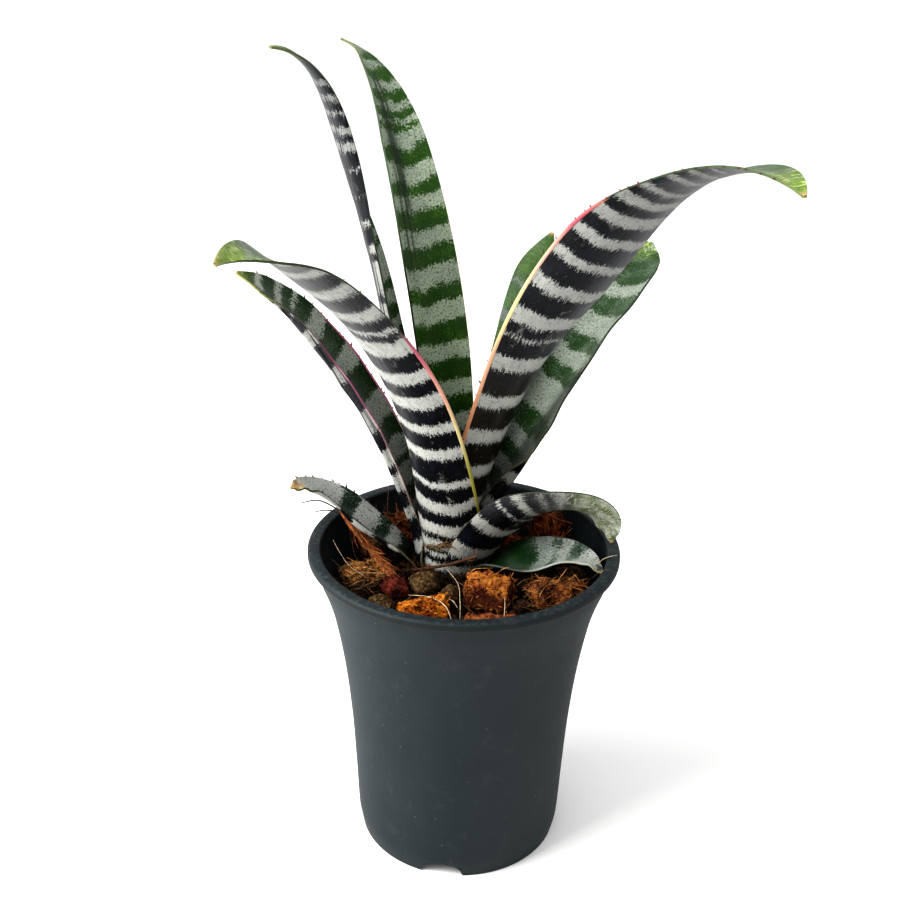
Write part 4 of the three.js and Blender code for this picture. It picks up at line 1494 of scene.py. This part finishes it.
@dataclass
class NurseryPot:
    """Flared pot with a rolled lip, a raised floor with drain holes, and a notched foot ring."""

    height: float = 128.4
    rim_radius: float = 60.0
    mouth_radius: float = 55.0
    foot_radius: float = 40.3
    foot_ring: float = 2.3
    foot_rounding: float = 0.3
    wall_start: float = 8.0
    wall_rows: int = 44
    inner_rows: int = 20
    wall: float = 1.6
    lip_depth: float = 3.4
    floor_level: float = 7.5
    floor_thickness: float = 1.8
    notch_half_steps: int = 8
    notch_height: float = 6.0
    notch_turn: float = -98.6
    notch_count: int = 4
    drain_radius: float = 5.0
    drain_circle: float = 24.0
    drain_count: int = 6
    steps: int = 240
    wall_shares: tuple[float, ...] = (0, 0.05, 0.24, 0.43, 0.63, 0.8, 0.88, 0.94, 1)
    wall_radii: tuple[float, ...] = (40.3, 41.5, 42.7, 44.1, 46.7, 50.3, 53, 55.7, 57.6)

    def wall_radius(self, level: float) -> float:
        """Radius of the outer wall at a level."""
        return between(self.wall_shares, self.wall_radii, level / (self.height - self.lip_depth))

    def profile(self) -> list[tuple[float, float]]:
        """Half section of the pot, from the floor's underside round to its top.

        Returns:
            Radius and level of each point.
        """
        lip_foot = self.height - self.lip_depth
        inside = self.foot_radius - self.foot_ring
        points = [(inside, self.floor_level), (inside, 0.25), (inside + 0.25, 0.0)]
        points += [(self.foot_radius - self.foot_rounding, 0.0), (self.foot_radius, self.foot_rounding)]
        steps = range(self.wall_rows + 1)
        levels = [self.wall_start + (lip_foot - 9.2) * i / self.wall_rows for i in steps]
        points += [(self.wall_radius(level), level) for level in levels]
        points += [(self.wall_radius(lip_foot) + 0.15, lip_foot - 0.2)]
        points += arc(self.rim_radius - 1.1, lip_foot + 1.1, 1.1, -80, 0, 5)
        points += arc(self.rim_radius - 1.3, self.height - 1.35, 1.3, 10, 80, 6)
        points += [(self.rim_radius - 2.6, self.height), (self.mouth_radius + 1.6, self.height - 0.18)]
        points += arc(self.mouth_radius + 1.0, self.height - 1.2, 1.0, 100, 180, 5)
        for i in range(self.inner_rows + 1):
            level = lip_foot - 2.5 - (lip_foot - 14.0) * i / self.inner_rows
            points.append((min(self.wall_radius(level) - self.wall, self.mouth_radius), level))
        top = self.floor_level + self.floor_thickness
        points.append((self.wall_radius(top) - self.wall - 0.6, top))
        return points

    def build(self) -> None:
        """Makes the pot."""
        finish = PotPlastic().material()
        bm = bmesh.new()
        start = math.radians(self.notch_turn)
        verts = [
            bm.verts.new((radius * math.cos(start), radius * math.sin(start), level))
            for radius, level in self.profile()
        ]
        edges = [bm.edges.new(pair) for pair in zip(verts, verts[1:])]
        bmesh.ops.spin(
            bm, geom=[*verts, *edges], cent=(0, 0, 0), axis=(0, 0, 1),
            angle=2 * math.pi, steps=self.steps, use_merge=True,
        )
        self.cut_notches(bm)
        self.close_floor(bm)
        bmesh.ops.recalc_face_normals(bm, faces=bm.faces)
        piece = piece_of("pot_shell", bm, [finish], 45.0)
        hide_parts("pot")

    def cut_notches(self, bm: BMesh) -> None:
        """Raises the foot ring's lower edge to an arch at each notch.

        Args:
            bm: the pot's shape.
        """
        step = 360 / self.steps
        spacing = 360 / self.notch_count
        for vert in bm.verts:
            if vert.co.z > 1.0:
                continue
            turn = math.degrees(math.atan2(vert.co.y, vert.co.x)) - self.notch_turn
            off = (turn + spacing / 2) % spacing - spacing / 2
            share = abs(off) / (self.notch_half_steps * step)
            if share < 0.999:
                rise = self.notch_height * math.sqrt(1 - share * share)
                radius = vert.co.xy.length
                growth = self.wall_radius(rise) - self.foot_radius if radius > self.foot_radius - 1 else 0.0
                vert.co.xy = vert.co.xy * ((radius + growth) / radius)
                vert.co.z += rise

    def close_floor(self, bm: BMesh) -> None:
        """Closes the floor, leaving its drain holes.

        Args:
            bm: the pot's shape.
        """
        places = [(0.0, 0.0)]
        for i in range(self.drain_count):
            angle = 2 * math.pi * i / self.drain_count
            places.append((self.drain_circle * math.cos(angle), self.drain_circle * math.sin(angle)))
        levels = (self.floor_level, self.floor_level + self.floor_thickness)
        open_edges = [edge for edge in bm.edges if edge.is_boundary]
        rims = [[edge for edge in open_edges if abs(edge.verts[0].co.z - level) < 0.1] for level in levels]
        holes: list[list[list[BMEdge]]] = [[], []]
        for side, level in enumerate(levels):
            for x, y in places:
                made = bmesh.ops.create_circle(
                    bm, segments=32, radius=self.drain_radius, matrix=Matrix.Translation((x, y, level)),
                )
                loop = dict.fromkeys(edge for vert in made["verts"] for edge in vert.link_edges)
                holes[side].append(list(loop))
        for rim, loops in zip(rims, holes):
            bmesh.ops.triangle_fill(bm, use_beauty=True, edges=sum(loops, rim))
        for low, high in zip(*holes):
            bmesh.ops.bridge_loops(bm, edges=[*low, *high])


def arc(
    radius: float, level: float, size: float, start: float, end: float, steps: int,
) -> list[tuple[float, float]]:
    """Points of an arc in a turned profile.

    Args:
        radius: radius of the arc's middle.
        level: level of the arc's middle.
        size: radius of the arc itself.
        start: first angle in degrees, from outwards towards up.
        end: last angle in degrees.
        steps: number of steps.

    Returns:
        Radius and level of each point.
    """
    points = []
    for i in range(steps + 1):
        angle = math.radians(lerp(start, end, i / steps))
        points.append((radius + size * math.cos(angle), level + size * math.sin(angle)))
    return points


# Growing mix

@dataclass(frozen=True)
class Husk:
    """A husk chip or lump: the CAD node that it replaces, and how it looks.

    Strands lie on it, as many as given, from the shortest to the longest length, and stand away from
    it by the loft.
    """

    node: str
    finish: str
    strands: int
    lengths: tuple[float, float]
    loft: float
    rough: float
    tints: tuple[Colour, ...]


ORANGE_TINTS = ((0.56, 0.25, 0.055), (0.42, 0.15, 0.030), (0.26, 0.06, 0.020))
GOLD_TINTS = ((0.74, 0.32, 0.050), (0.60, 0.20, 0.025), (0.36, 0.09, 0.015))
BROWN_TINTS = ((0.46, 0.20, 0.065), (0.30, 0.11, 0.032), (0.12, 0.042, 0.014), (0.52, 0.28, 0.11))
RED_TINTS = ((0.30, 0.09, 0.025), (0.16, 0.035, 0.012), (0.42, 0.16, 0.045))
TAN_TINTS = ((0.66, 0.37, 0.15), (0.50, 0.23, 0.075), (0.20, 0.085, 0.03), (0.72, 0.48, 0.24))
DARK_TINTS = ((0.09, 0.05, 0.025), (0.035, 0.02, 0.01), (0.16, 0.09, 0.045))
WINE_TINTS = ((0.17, 0.03, 0.018), (0.08, 0.014, 0.010), (0.26, 0.07, 0.035))
CRUMB_TINTS = (
    (0.02, 0.011, 0.006), (0.035, 0.018, 0.009), (0.07, 0.03, 0.012), (0.14, 0.05, 0.018),
    (0.01, 0.007, 0.006),
)
LOOSE_TINTS = ((0.07, 0.035, 0.015), (0.16, 0.07, 0.025), (0.30, 0.17, 0.08), (0.03, 0.017, 0.01))

HUSKS = (
    Husk("chip_orange_square", "orange", 260, (1.2, 3.2), 0.30, 1.3, ORANGE_TINTS),
    Husk("chip_orange_bitten", "bright_orange", 260, (1.2, 3.6), 0.30, 1.4, GOLD_TINTS),
    Husk("chip_flat_front", "rust", 140, (1.5, 3.5), 0.20, 1.0, RED_TINTS),
    Husk("chip_fibrous_right", "brown", 480, (2.5, 7.0), 0.28, 1.5, BROWN_TINTS),
    Husk("chip_red_back", "red", 200, (4.0, 9.0), 0.12, 0.9, RED_TINTS),
    Husk("chip_red_inner", "red", 90, (2.0, 5.0), 0.25, 0.9, RED_TINTS),
    Husk("husk_lump_left", "gold", 300, (2.0, 6.0), 0.22, 2.4, TAN_TINTS),
    Husk("chip_dark_red", "dark_red", 110, (2.0, 5.0), 0.15, 0.9, WINE_TINTS),
    Husk("chip_dark_small", "dark", 40, (2.0, 5.0), 0.3, 0.7, DARK_TINTS),
    Husk("husk_tuft_back_left", "brown", 220, (4.0, 10.0), 0.6, 1.1, RED_TINTS),
    Husk("chip_back_middle", "brown", 90, (2.0, 5.0), 0.25, 1.0, BROWN_TINTS),
    Husk("chip_back_right", "brown", 80, (2.0, 5.0), 0.25, 1.0, BROWN_TINTS),
    Husk("chip_left_front", "dark", 160, (3.0, 8.0), 0.4, 1.0, DARK_TINTS + TAN_TINTS[:1]),
)

HUSK_FINISHES = (
    HuskFinish("orange", (0.56, 0.25, 0.055), (0.34, 0.10, 0.025), (0.045, 0.008, 0.006), 117.4),
    HuskFinish("bright_orange", (0.90, 0.38, 0.050), (0.66, 0.20, 0.022), (0.12, 0.022, 0.006)),
    HuskFinish("rust", (0.42, 0.16, 0.055), (0.22, 0.058, 0.022), (0.03, 0.008, 0.005)),
    HuskFinish("brown", (0.40, 0.16, 0.050), (0.16, 0.055, 0.018), (0.012, 0.005, 0.003)),
    HuskFinish(
        "red", (0.28, 0.08, 0.020), (0.11, 0.024, 0.008), (0.015, 0.005, 0.003),
        grain=(1.9, 1.9, 0.2), turn=(0, 0, 0),
    ),
    HuskFinish("gold", (0.80, 0.42, 0.15), (0.40, 0.18, 0.055), (0.020, 0.010, 0.004)),
    HuskFinish("dark_red", (0.24, 0.05, 0.030), (0.11, 0.022, 0.014), (0.010, 0.003, 0.003)),
    HuskFinish("dark", (0.09, 0.05, 0.025), (0.035, 0.018, 0.009), (0.006, 0.004, 0.003)),
)

PALE_HAIR = (0.62, 0.50, 0.34)
RUSTY_HAIR = (0.30, 0.10, 0.05)
DUSKY_HAIR = (0.14, 0.09, 0.055)
DARK_HAIR = (0.020, 0.014, 0.012)

WHISKERS = (
    (0.50, PALE_HAIR, ((-20.5, -20.6, 116.6), (-12.2, -22.8, 117.2), (-6.4, -27.5, 116.4), (-3.6, -36, 115))),
    (0.36, PALE_HAIR, ((-6.8, 3, 115.2), (-1.9, -9.8, 115.6), (-0.9, -24, 116), (-0.8, -35, 115))),
    (0.36, PALE_HAIR, ((15.8, -20, 116.4), (15.7, -27, 116.6), (15.3, -33, 115))),
    (0.36, RUSTY_HAIR, ((-9.4, -14.6, 114.6), (-7.8, -22, 116.4), (-6, -29, 115.4))),
    (0.34, PALE_HAIR, ((-5.5, -20, 115), (-3.5, -24, 116.4), (-1.8, -27, 115.4))),
    (0.62, DARK_HAIR, ((-44.5, 17, 128), (-52.5, 22.9, 130.8), (-59.6, 28, 131.2), (-66.7, 26.7, 130.4))),
    (0.56, DARK_HAIR, ((-43.5, 14.5, 127), (-50.5, 19.4, 130), (-55.5, 20.9, 130.4), (-60.2, 19.8, 130))),
    (0.30, DUSKY_HAIR, ((-31, 34, 116), (-31.8, 34.5, 124.7), (-31.5, 34.8, 130.5), (-31, 34.5, 136.2))),
    (0.30, PALE_HAIR, ((50.5, -6, 122), (52.6, -8.5, 126.8), (55.4, -10, 129.2), (57.9, -10.2, 129.9))),
    (0.28, DUSKY_HAIR, ((48.0, -18, 124), (50.6, -22, 129.3), (54.9, -20.8, 129.8))),
    (0.36, (0.52, 0.26, 0.10), ((2, -11, 119.8), (4.4, -10.5, 122.6), (11.3, -10.3, 123.2))),
    (0.36, (0.52, 0.26, 0.10), ((12, -11, 120), (14.7, -10, 122.4), (17.7, -9.8, 123.6))),
    (0.55, (0.34, 0.22, 0.12), ((-40.1, -2.7, 115.6), (-34, -4, 116.2), (-28, -2.9, 115.4))),
    (0.60, (0.26, 0.15, 0.07), ((19.5, -9, 113.8), (23, -6, 115.4), (26.4, -2.8, 114.8))),
    (0.34, PALE_HAIR, ((-51, 4, 126), (-48, 1, 122), (-44, -3, 118.5), (-38, -6, 116))),
    (0.32, DUSKY_HAIR, ((-50, -8, 124), (-44, -9.5, 119), (-37, -8, 116))),
)


class TintedShape:
    """A shape whose points hold tints, such as many fine fibres gathered in one piece."""

    def __init__(self, name: str) -> None:
        """Starts an empty shape.

        Args:
            name: the piece's name.
        """
        self.name = name
        self.bm = bmesh.new()
        self.tint = self.bm.verts.layers.float_color.new("tint")

    def add(
        self, points: Sequence[Sequence[float]], width: float, tint: Colour, rows: int = 6, sides: int = 4,
    ) -> None:
        """Adds a fibre.

        Args:
            points: places that it passes through.
            width: its thickness.
            tint: its colour.
            rows: steps along it.
            sides: faces round it.
        """
        def dress(vert: BMVert, t: float, turn: float) -> None:
            """Stores the fibre's tint."""
            vert[self.tint] = (*tint, 1.0)

        def radius(t: float) -> float:
            """Half the thickness, thinner at both ends."""
            return width / 2 * (0.35 + 0.65 * math.sin(math.pi * (0.12 + 0.8 * t)))

        sweep(self.bm, curve_through(points), radius, rows, sides, 1.0, Vector((0.31, 0.17, 0.93)), dress)

    def add_curl(
        self, draw: random.Random, start: Vector, heading: Vector, length: float, width: float, tint: Colour,
        curl: float,
    ) -> None:
        """Adds a fibre that wanders from its start.

        Args:
            draw: the random draw.
            start: where it leaves.
            heading: where it sets out.
            length: its length.
            width: its thickness.
            tint: its colour.
            curl: how far it turns at each step.
        """
        points = [start]
        forward = heading.normalized()
        for _ in range(3):
            forward = (forward + curl * random_direction(draw)).normalized()
            points.append(points[-1] + forward * (length / 3))
        shade = draw.uniform(0.55, 1.25)
        self.add(points, width, tuple(min(channel * shade, 1.0) for channel in tint))

    def finish(self, material: Material, slot: str) -> Object:
        """Turns the shape into a piece with its material."""
        bmesh.ops.recalc_face_normals(self.bm, faces=self.bm.faces)
        return piece_of(self.name, self.bm, [material], SMOOTH)


def random_direction(draw: random.Random) -> Vector:
    """Direction drawn evenly from all sides.

    Args:
        draw: the random draw.

    Returns:
        The direction.
    """
    level = draw.uniform(-1, 1)
    turn = draw.uniform(0, 2 * math.pi)
    reach = math.sqrt(1 - level * level)
    return Vector((reach * math.cos(turn), reach * math.sin(turn), level))


@dataclass
class GrowingMix:
    """Loose mix of husk chips, fibre and fired clay pellets that fills the pot."""

    level: float = 110.0
    top_level: float = 100.0
    lump_level: float = 104.0
    reach: float = 49.0
    mouth: float = 48.5
    leaf_bases: float = 14.0
    pellets: int = 8
    crumbs: int = 900
    loose_fibres: int = 420
    strip_fibres: int = 150
    root_hairs: int = 70
    scale_fibres: int = 60
    chip_seed: int = 500
    crumb_seed: int = 77
    strip_seed: int = 31
    root_seed: int = 43
    fibre_seed: int = 19
    strip_points: tuple[Triple, ...] = (
        (-48.6, 20.5, 131.5), (-43.5, 14.5, 126.5), (-38, 8.5, 122), (-32, 2, 117.8), (-27.5, -3, 114.8),
    )
    root_points: tuple[Triple, ...] = (
        (-26, 7.6, 110.4), (-20.5, 5.6, 112.6), (-14, 3.6, 114.6), (-5, 2.2, 117.5), (5, 2.5, 121),
    )
    scale_points: tuple[Triple, ...] = (
        (-15.4, 11.6, 119.8), (-10.6, 8.4, 121.6), (-6.0, 8.2, 123.4),
    )

    def build(self) -> None:
        """Makes the body, the chips, the pellets and the fibres."""
        self.fibre_finish: Material = TintFinish("husk_fibre", 0.7, 0.05, 0.8).material()
        self.build_body()
        self.build_chips()
        self.build_pellets()
        self.build_crumbs()
        self.build_strip()
        self.build_root()
        self.build_loose_fibres()

    def build_body(self) -> None:
        """Makes the lumpy body of the mix from the CAD solid."""
        finish = SoilFinish().material()
        bm = node_shape("potting_mix")
        top = [edge for edge in bm.edges if min(vert.co.z for vert in edge.verts) > self.top_level]
        bmesh.ops.subdivide_edges(bm, edges=top, cuts=2, use_grid_fill=True)
        bm.normal_update()
        for vert in bm.verts:
            if vert.co.z > self.lump_level and vert.normal.z > 0.3:
                lumps = noise.fractal(vert.co * 0.35, 0.8, 2.0, 3)
                vert.co.z -= 0.9 * (0.6 + lumps)
        piece = piece_of("potting_mix_body", bm, [finish], SMOOTH)
        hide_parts("potting_mix")

    def build_chips(self) -> None:
        """Makes each chip from its CAD solid, with strands lying on it."""
        finishes = {finish.name: finish.material() for finish in HUSK_FINISHES}
        for number, husk in enumerate(HUSKS):
            draw = random.Random(self.chip_seed + number)
            grain = Vector([draw.uniform(-span, span) for span in (1, 0.5, 0.3)]).normalized()
            bm = node_shape(husk.node)
            bmesh.ops.join_triangles(bm, faces=bm.faces, angle_face_threshold=0.6, angle_shape_threshold=0.8)
            bmesh.ops.subdivide_edges(bm, edges=bm.edges, cuts=8, use_grid_fill=True, smooth=0.12)
            bmesh.ops.triangulate(bm, faces=[face for face in bm.faces if len(face.verts) > 4])
            bm.normal_update()
            away = Vector((number * 7.0, 0, 0))
            for vert in bm.verts:
                lengthwise = grain * (vert.co.dot(grain) * 0.75)
                lumps = noise.fractal(vert.co * 0.24 + away, 0.7, 2.1, 4)
                ridges = noise.noise((vert.co - lengthwise) * 1.1 + away)
                pits = noise.noise(vert.co * 0.8 + away)
                vert.co += vert.normal * (husk.rough * (0.75 * lumps + 0.5 * ridges + 0.4 * pits - 0.25))
            bm.normal_update()
            places = [(vert.co.copy(), vert.normal.copy()) for vert in bm.verts]
            slot = slot_of(husk.node)
            piece = piece_of(f"{husk.node}_husk", bm, [finishes[husk.finish]], SMOOTH)
            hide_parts(husk.node)
            self.add_strands(husk, draw, grain, places)

    def add_strands(
        self, husk: Husk, draw: random.Random, grain: Vector, places: list[tuple[Vector, Vector]],
    ) -> None:
        """Makes the strands of a chip.

        Args:
            husk: the chip.
            draw: its random draw.
            grain: the direction that most strands follow.
            places: points of its surface with their outward directions.
        """
        bundle = TintedShape(f"{husk.node}_fibres")
        for _ in range(husk.strands):
            at, normal = draw.choice(places)
            if at.z < self.level + 0.5:
                continue
            lying = grain * draw.choice((-1, 1)) + 0.8 * random_direction(draw)
            lying = (lying - normal * lying.dot(normal)).normalized()
            heading = lying + normal * draw.uniform(-0.1, husk.loft)
            start = at + normal * draw.uniform(-0.15, 0.1)
            length, width = draw.uniform(*husk.lengths), draw.uniform(0.22, 0.44)
            bundle.add_curl(draw, start, heading, length, width, draw.choice(husk.tints), 0.22)
        if bundle.bm.verts:
            bundle.finish(self.fibre_finish, slot_of(husk.node))

    def build_pellets(self) -> None:
        """Makes the pellets from their CAD solids."""
        finish = ClayFinish().material()
        for number in range(1, self.pellets + 1):
            bm = node_shape(f"clay_pellet_{number}")
            bmesh.ops.subdivide_edges(bm, edges=bm.edges, cuts=3, use_grid_fill=True, smooth=0.9)
            for _ in range(2):
                bmesh.ops.smooth_vert(
                    bm, verts=bm.verts, factor=0.5, use_axis_x=True, use_axis_y=True, use_axis_z=True,
                )
            bm.normal_update()
            for vert in bm.verts:
                lumps = noise.fractal(vert.co * 0.3 + Vector((number * 5.0, 0, 0)), 0.8, 2.0, 4)
                pores = noise.noise(vert.co * 0.9 + Vector((0, number * 5.0, 0)))
                vert.co += vert.normal * (0.5 * lumps + 0.22 * pores + 0.1)
            piece = piece_of(f"clay_pellet_{number}_fired", bm, [finish], SMOOTH)
            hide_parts(f"clay_pellet_{number}")

    def free_spot(self, draw: random.Random) -> Vector:
        """Spot on the mix, clear of the leaf bases.

        Args:
            draw: the random draw.

        Returns:
            The spot, at the level of the ground.
        """
        while True:
            x, y = (draw.uniform(-self.reach, self.reach) for _ in range(2))
            spot = Vector((x, y, 0.0))
            clear = (spot.xy - STEM_PLACE.xy).length > self.leaf_bases
            if spot.length < self.mouth and clear:
                return spot

    def build_crumbs(self) -> None:
        """Makes the small crumbs between the chips."""
        finish = TintFinish("mix_crumb").material()
        draw = random.Random(self.crumb_seed)
        bm = bmesh.new()
        tint = bm.verts.layers.float_color.new("tint")
        for _ in range(self.crumbs):
            spot = self.free_spot(draw)
            size = draw.uniform(0.7, 2.4) * draw.uniform(0.6, 1.0)
            spot.z = self.level + draw.uniform(-1.6, 0.6)
            made = bmesh.ops.create_icosphere(bm, subdivisions=1, radius=1.0)
            sizes = [size * draw.uniform(*span) for span in ((0.8, 2.0), (0.5, 1.0), (0.4, 0.8))]
            shape = Matrix.Diagonal((*sizes, 1))
            tilt = Euler([draw.uniform(*span) for span in ((-0.5, 0.5), (-0.5, 0.5), (0, 6.28))])
            colour = draw.choice(CRUMB_TINTS)
            for vert in made["verts"]:
                vert.co = vert.co * draw.uniform(0.75, 1.2)
                vert[tint] = (*colour, 1.0)
            turn = tilt.to_matrix().to_4x4()
            bmesh.ops.transform(bm, matrix=Matrix.Translation(spot) @ turn @ shape, verts=made["verts"])
        piece_of("mix_crumbs", bm, [finish], 30.0)

    def build_strip(self) -> None:
        """Makes the husk strip that leans on the lip."""
        band = TintedShape("husk_strip_band")
        path = curve_through(self.strip_points)

        def dress(vert: BMVert, t: float, turn: float) -> None:
            """Roughens the strip and stores its tint."""
            vert.co += random_direction(draw) * 0.12
            vert[band.tint] = shaded((0.34, 0.12, 0.036), 0.6 + 0.7 * abs(noise.noise(vert.co * 0.5)))

        draw = random.Random(self.strip_seed)
        up = Vector((0.2, -0.5, 0.85))
        sweep(band.bm, path, lambda t: 1.9 + 0.3 * math.sin(9 * t), 60, 16, 0.42, up, dress)
        piece = band.finish(TintFinish("husk_strip_fibre", 0.8, 0.35, 1.0).material(), "husk_brown")
        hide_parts("husk_strip")
        bundle = TintedShape("husk_strip_fibres")
        for _ in range(self.strip_fibres):
            t = draw.uniform(0.0, 0.9)
            start = path(t) + random_direction(draw) * 1.1
            heading = (path(t + 0.05) - path(t)).normalized() + 0.15 * random_direction(draw)
            tint = draw.choice(RED_TINTS + BROWN_TINTS[:2])
            bundle.add_curl(draw, start, heading, draw.uniform(3, 10), draw.uniform(0.2, 0.42), tint, 0.28)
        bundle.finish(self.fibre_finish, "husk_brown")

    def build_root(self) -> None:
        """Makes the dry root with its hairs, and the dry scale at the foot of the left wide leaf."""
        path = curve_through(self.root_points)
        bark = TintedShape("dry_root_bark")

        def dress(vert: BMVert, t: float, turn: float) -> None:
            """Stores the root's tint, paler towards its end, and roughens it.

            Args:
                vert: the point.
                t: place along the root.
                turn: place round it.
            """
            shade = (0.25 + 0.75 * t) * (0.7 + 0.9 * abs(noise.noise(vert.co * 0.6)))
            vert.co += random_direction(draw) * 0.10
            vert[bark.tint] = shaded((0.15, 0.07, 0.035), shade)

        def radius(t: float) -> float:
            """Half the root's thickness, knotted."""
            return 0.62 + 0.38 * noise.noise(Vector((t * 11, 0, 3)))

        draw = random.Random(self.root_seed)
        sweep(bark.bm, path, radius, 90, 10, 0.9, Vector((0, 0, 1)), dress)
        piece = bark.finish(TintFinish("dry_root_bark", 0.8, 0.25, 1.2).material(), "dry_root")
        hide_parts("dry_root")
        bundle = TintedShape("dry_root_hairs")
        for _ in range(self.root_hairs):
            t = draw.uniform(0.0, 1.0)
            heading = (path(min(t + 0.05, 1.0)) - path(t)) + 1.2 * random_direction(draw)
            bundle.add_curl(draw, path(t), heading, draw.uniform(1.5, 5), 0.22, (0.16, 0.075, 0.035), 0.35)
        for _ in range(self.scale_fibres):
            start = curve_through(self.scale_points)(draw.uniform(0, 1)) + random_direction(draw) * 0.7
            heading = Vector((1, 0, 0.25)) + 0.5 * random_direction(draw)
            bundle.add_curl(draw, start, heading, draw.uniform(1.5, 5), 0.34, (0.27, 0.17, 0.075), 0.35)
        bundle.finish(self.fibre_finish, "dry_root")

    def build_loose_fibres(self) -> None:
        """Makes the fibres that lie in the gaps of the mix."""
        bundle = TintedShape("mix_fibres")
        draw = random.Random(self.fibre_seed)
        for _ in range(self.loose_fibres):
            start = self.free_spot(draw)
            start.z = self.level + draw.uniform(-0.5, 1.6)
            heading = random_direction(draw)
            heading.z = draw.uniform(-0.1, 0.25)
            length, width = draw.uniform(4, 11), draw.uniform(0.2, 0.4)
            bundle.add_curl(draw, start, heading, length, width, draw.choice(LOOSE_TINTS), 0.3)
        for width, tint, points in WHISKERS:
            bundle.add(points, width, tint, 16, 6)
        bundle.finish(self.fibre_finish, "potting_mix")


def slot_of(node: str) -> str:
    """Record's material slot of a CAD node."""
    return next(row["material_slot"] for row in frame["record"]["subparts"] if row["node"] == node)


# Camera, floor and light

@dataclass(frozen=True)
class SoftLight:
    """Square soft light that faces the plant: where it hangs, its side, its power and its colour."""

    name: str
    place: Triple
    size: float
    watts: float
    colour: Colour = (1.0, 1.0, 1.0)
    target: Triple = (0.0, 0.0, 150.0)

    def build(self) -> None:
        """Makes the light."""
        data = bpy.data.lights.new(self.name, "AREA")
        data.size = self.size * MM
        data.energy = self.watts
        data.color = self.colour
        light = bpy.data.objects.new(self.name, data)
        light.location = (Vector(self.place) + POT_AXIS) * MM
        aim = (Vector(self.target) + POT_AXIS) * MM - light.location
        light.rotation_euler = aim.to_track_quat("-Z", "Y").to_euler()
        bpy.context.scene.collection.objects.link(light)


@dataclass(frozen=True)
class Studio:
    """Camera at the photo's viewing angle, a plain pale floor and soft light."""

    camera_place: Triple = (0.0, -426.3, 356.1)
    yaw: float = -0.797
    pitch: float = 23.893
    roll: float = 0.959
    lens: float = 50.0
    sensor: float = 36.0
    floor_size: float = 80000.0
    floor_tones: tuple[Colour, Colour] = ((0.87, 0.87, 0.865), (0.90, 0.90, 0.895))
    sky_strength: float = 0.86
    lights: tuple[SoftLight, ...] = (
        SoftLight("key", (-700, -380, 800), 540, 10.6, (1.0, 0.99, 0.97)),
        SoftLight("side", (-900, -120, 330), 480, 5.0),
    )

    def build(self) -> None:
        """Sets up the camera, the floor, the light and the sky."""
        self.build_camera()
        self.build_floor()
        self.build_lights()
        bpy.context.scene.view_settings.view_transform = "Standard"
        bpy.context.scene.view_settings.look = "High Contrast"

    def build_camera(self) -> None:
        """Makes the camera."""
        yaw, pitch, roll = (math.radians(angle) for angle in (self.yaw, self.pitch, self.roll))
        forward = Vector((math.sin(yaw) * math.cos(pitch), math.cos(yaw) * math.cos(pitch), -math.sin(pitch)))
        level = Vector((math.cos(yaw), -math.sin(yaw), 0.0))
        right, up = rolled(level, level.cross(forward), roll)
        turn = Matrix((right, up, -forward)).transposed().to_4x4()
        data = bpy.data.cameras.new("camera")
        data.lens = self.lens
        data.sensor_width = self.sensor
        data.clip_start = 0.01
        data.clip_end = 100.0
        camera = bpy.data.objects.new("camera", data)
        camera.matrix_world = Matrix.Translation((Vector(self.camera_place) + POT_AXIS) * MM) @ turn
        bpy.context.scene.collection.objects.link(camera)
        bpy.context.scene.camera = camera

    def build_floor(self) -> None:
        """Makes the pale floor."""
        bm = bmesh.new()
        bmesh.ops.create_grid(bm, x_segments=1, y_segments=1, size=self.floor_size * MM / 2)
        mesh = bpy.data.meshes.new("floor")
        bm.to_mesh(mesh)
        bm.free()
        finish = Finish("pale_floor")
        tone = finish.noise(0.004, 2.0)
        colour = finish.mix(tone, *self.floor_tones)
        mesh.materials.append(finish.surface(colour, 0.85, Specular_IOR_Level=0.1))
        floor = bpy.data.objects.new("floor", mesh)
        bpy.context.scene.collection.objects.link(floor)

    def build_lights(self) -> None:
        """Makes the soft light and the white surroundings."""
        world = bpy.data.worlds.new("surroundings")
        world.use_nodes = True
        background = world.node_tree.nodes["Background"]
        background.inputs["Color"].default_value = (1.0, 1.0, 1.0, 1.0)
        background.inputs["Strength"].default_value = self.sky_strength
        bpy.context.scene.world = world
        for light in self.lights:
            light.build()


def main() -> None:
    """Builds the scene in order."""
    Studio().build()
    log.info("camera, floor and light are set")
    NurseryPot().build()
    log.info("pot built")
    GrowingMix().build()
    log.info("growing mix built")
    Rosette().build()
    log.info("rosette built")


if __name__ == "__main__":
    main()
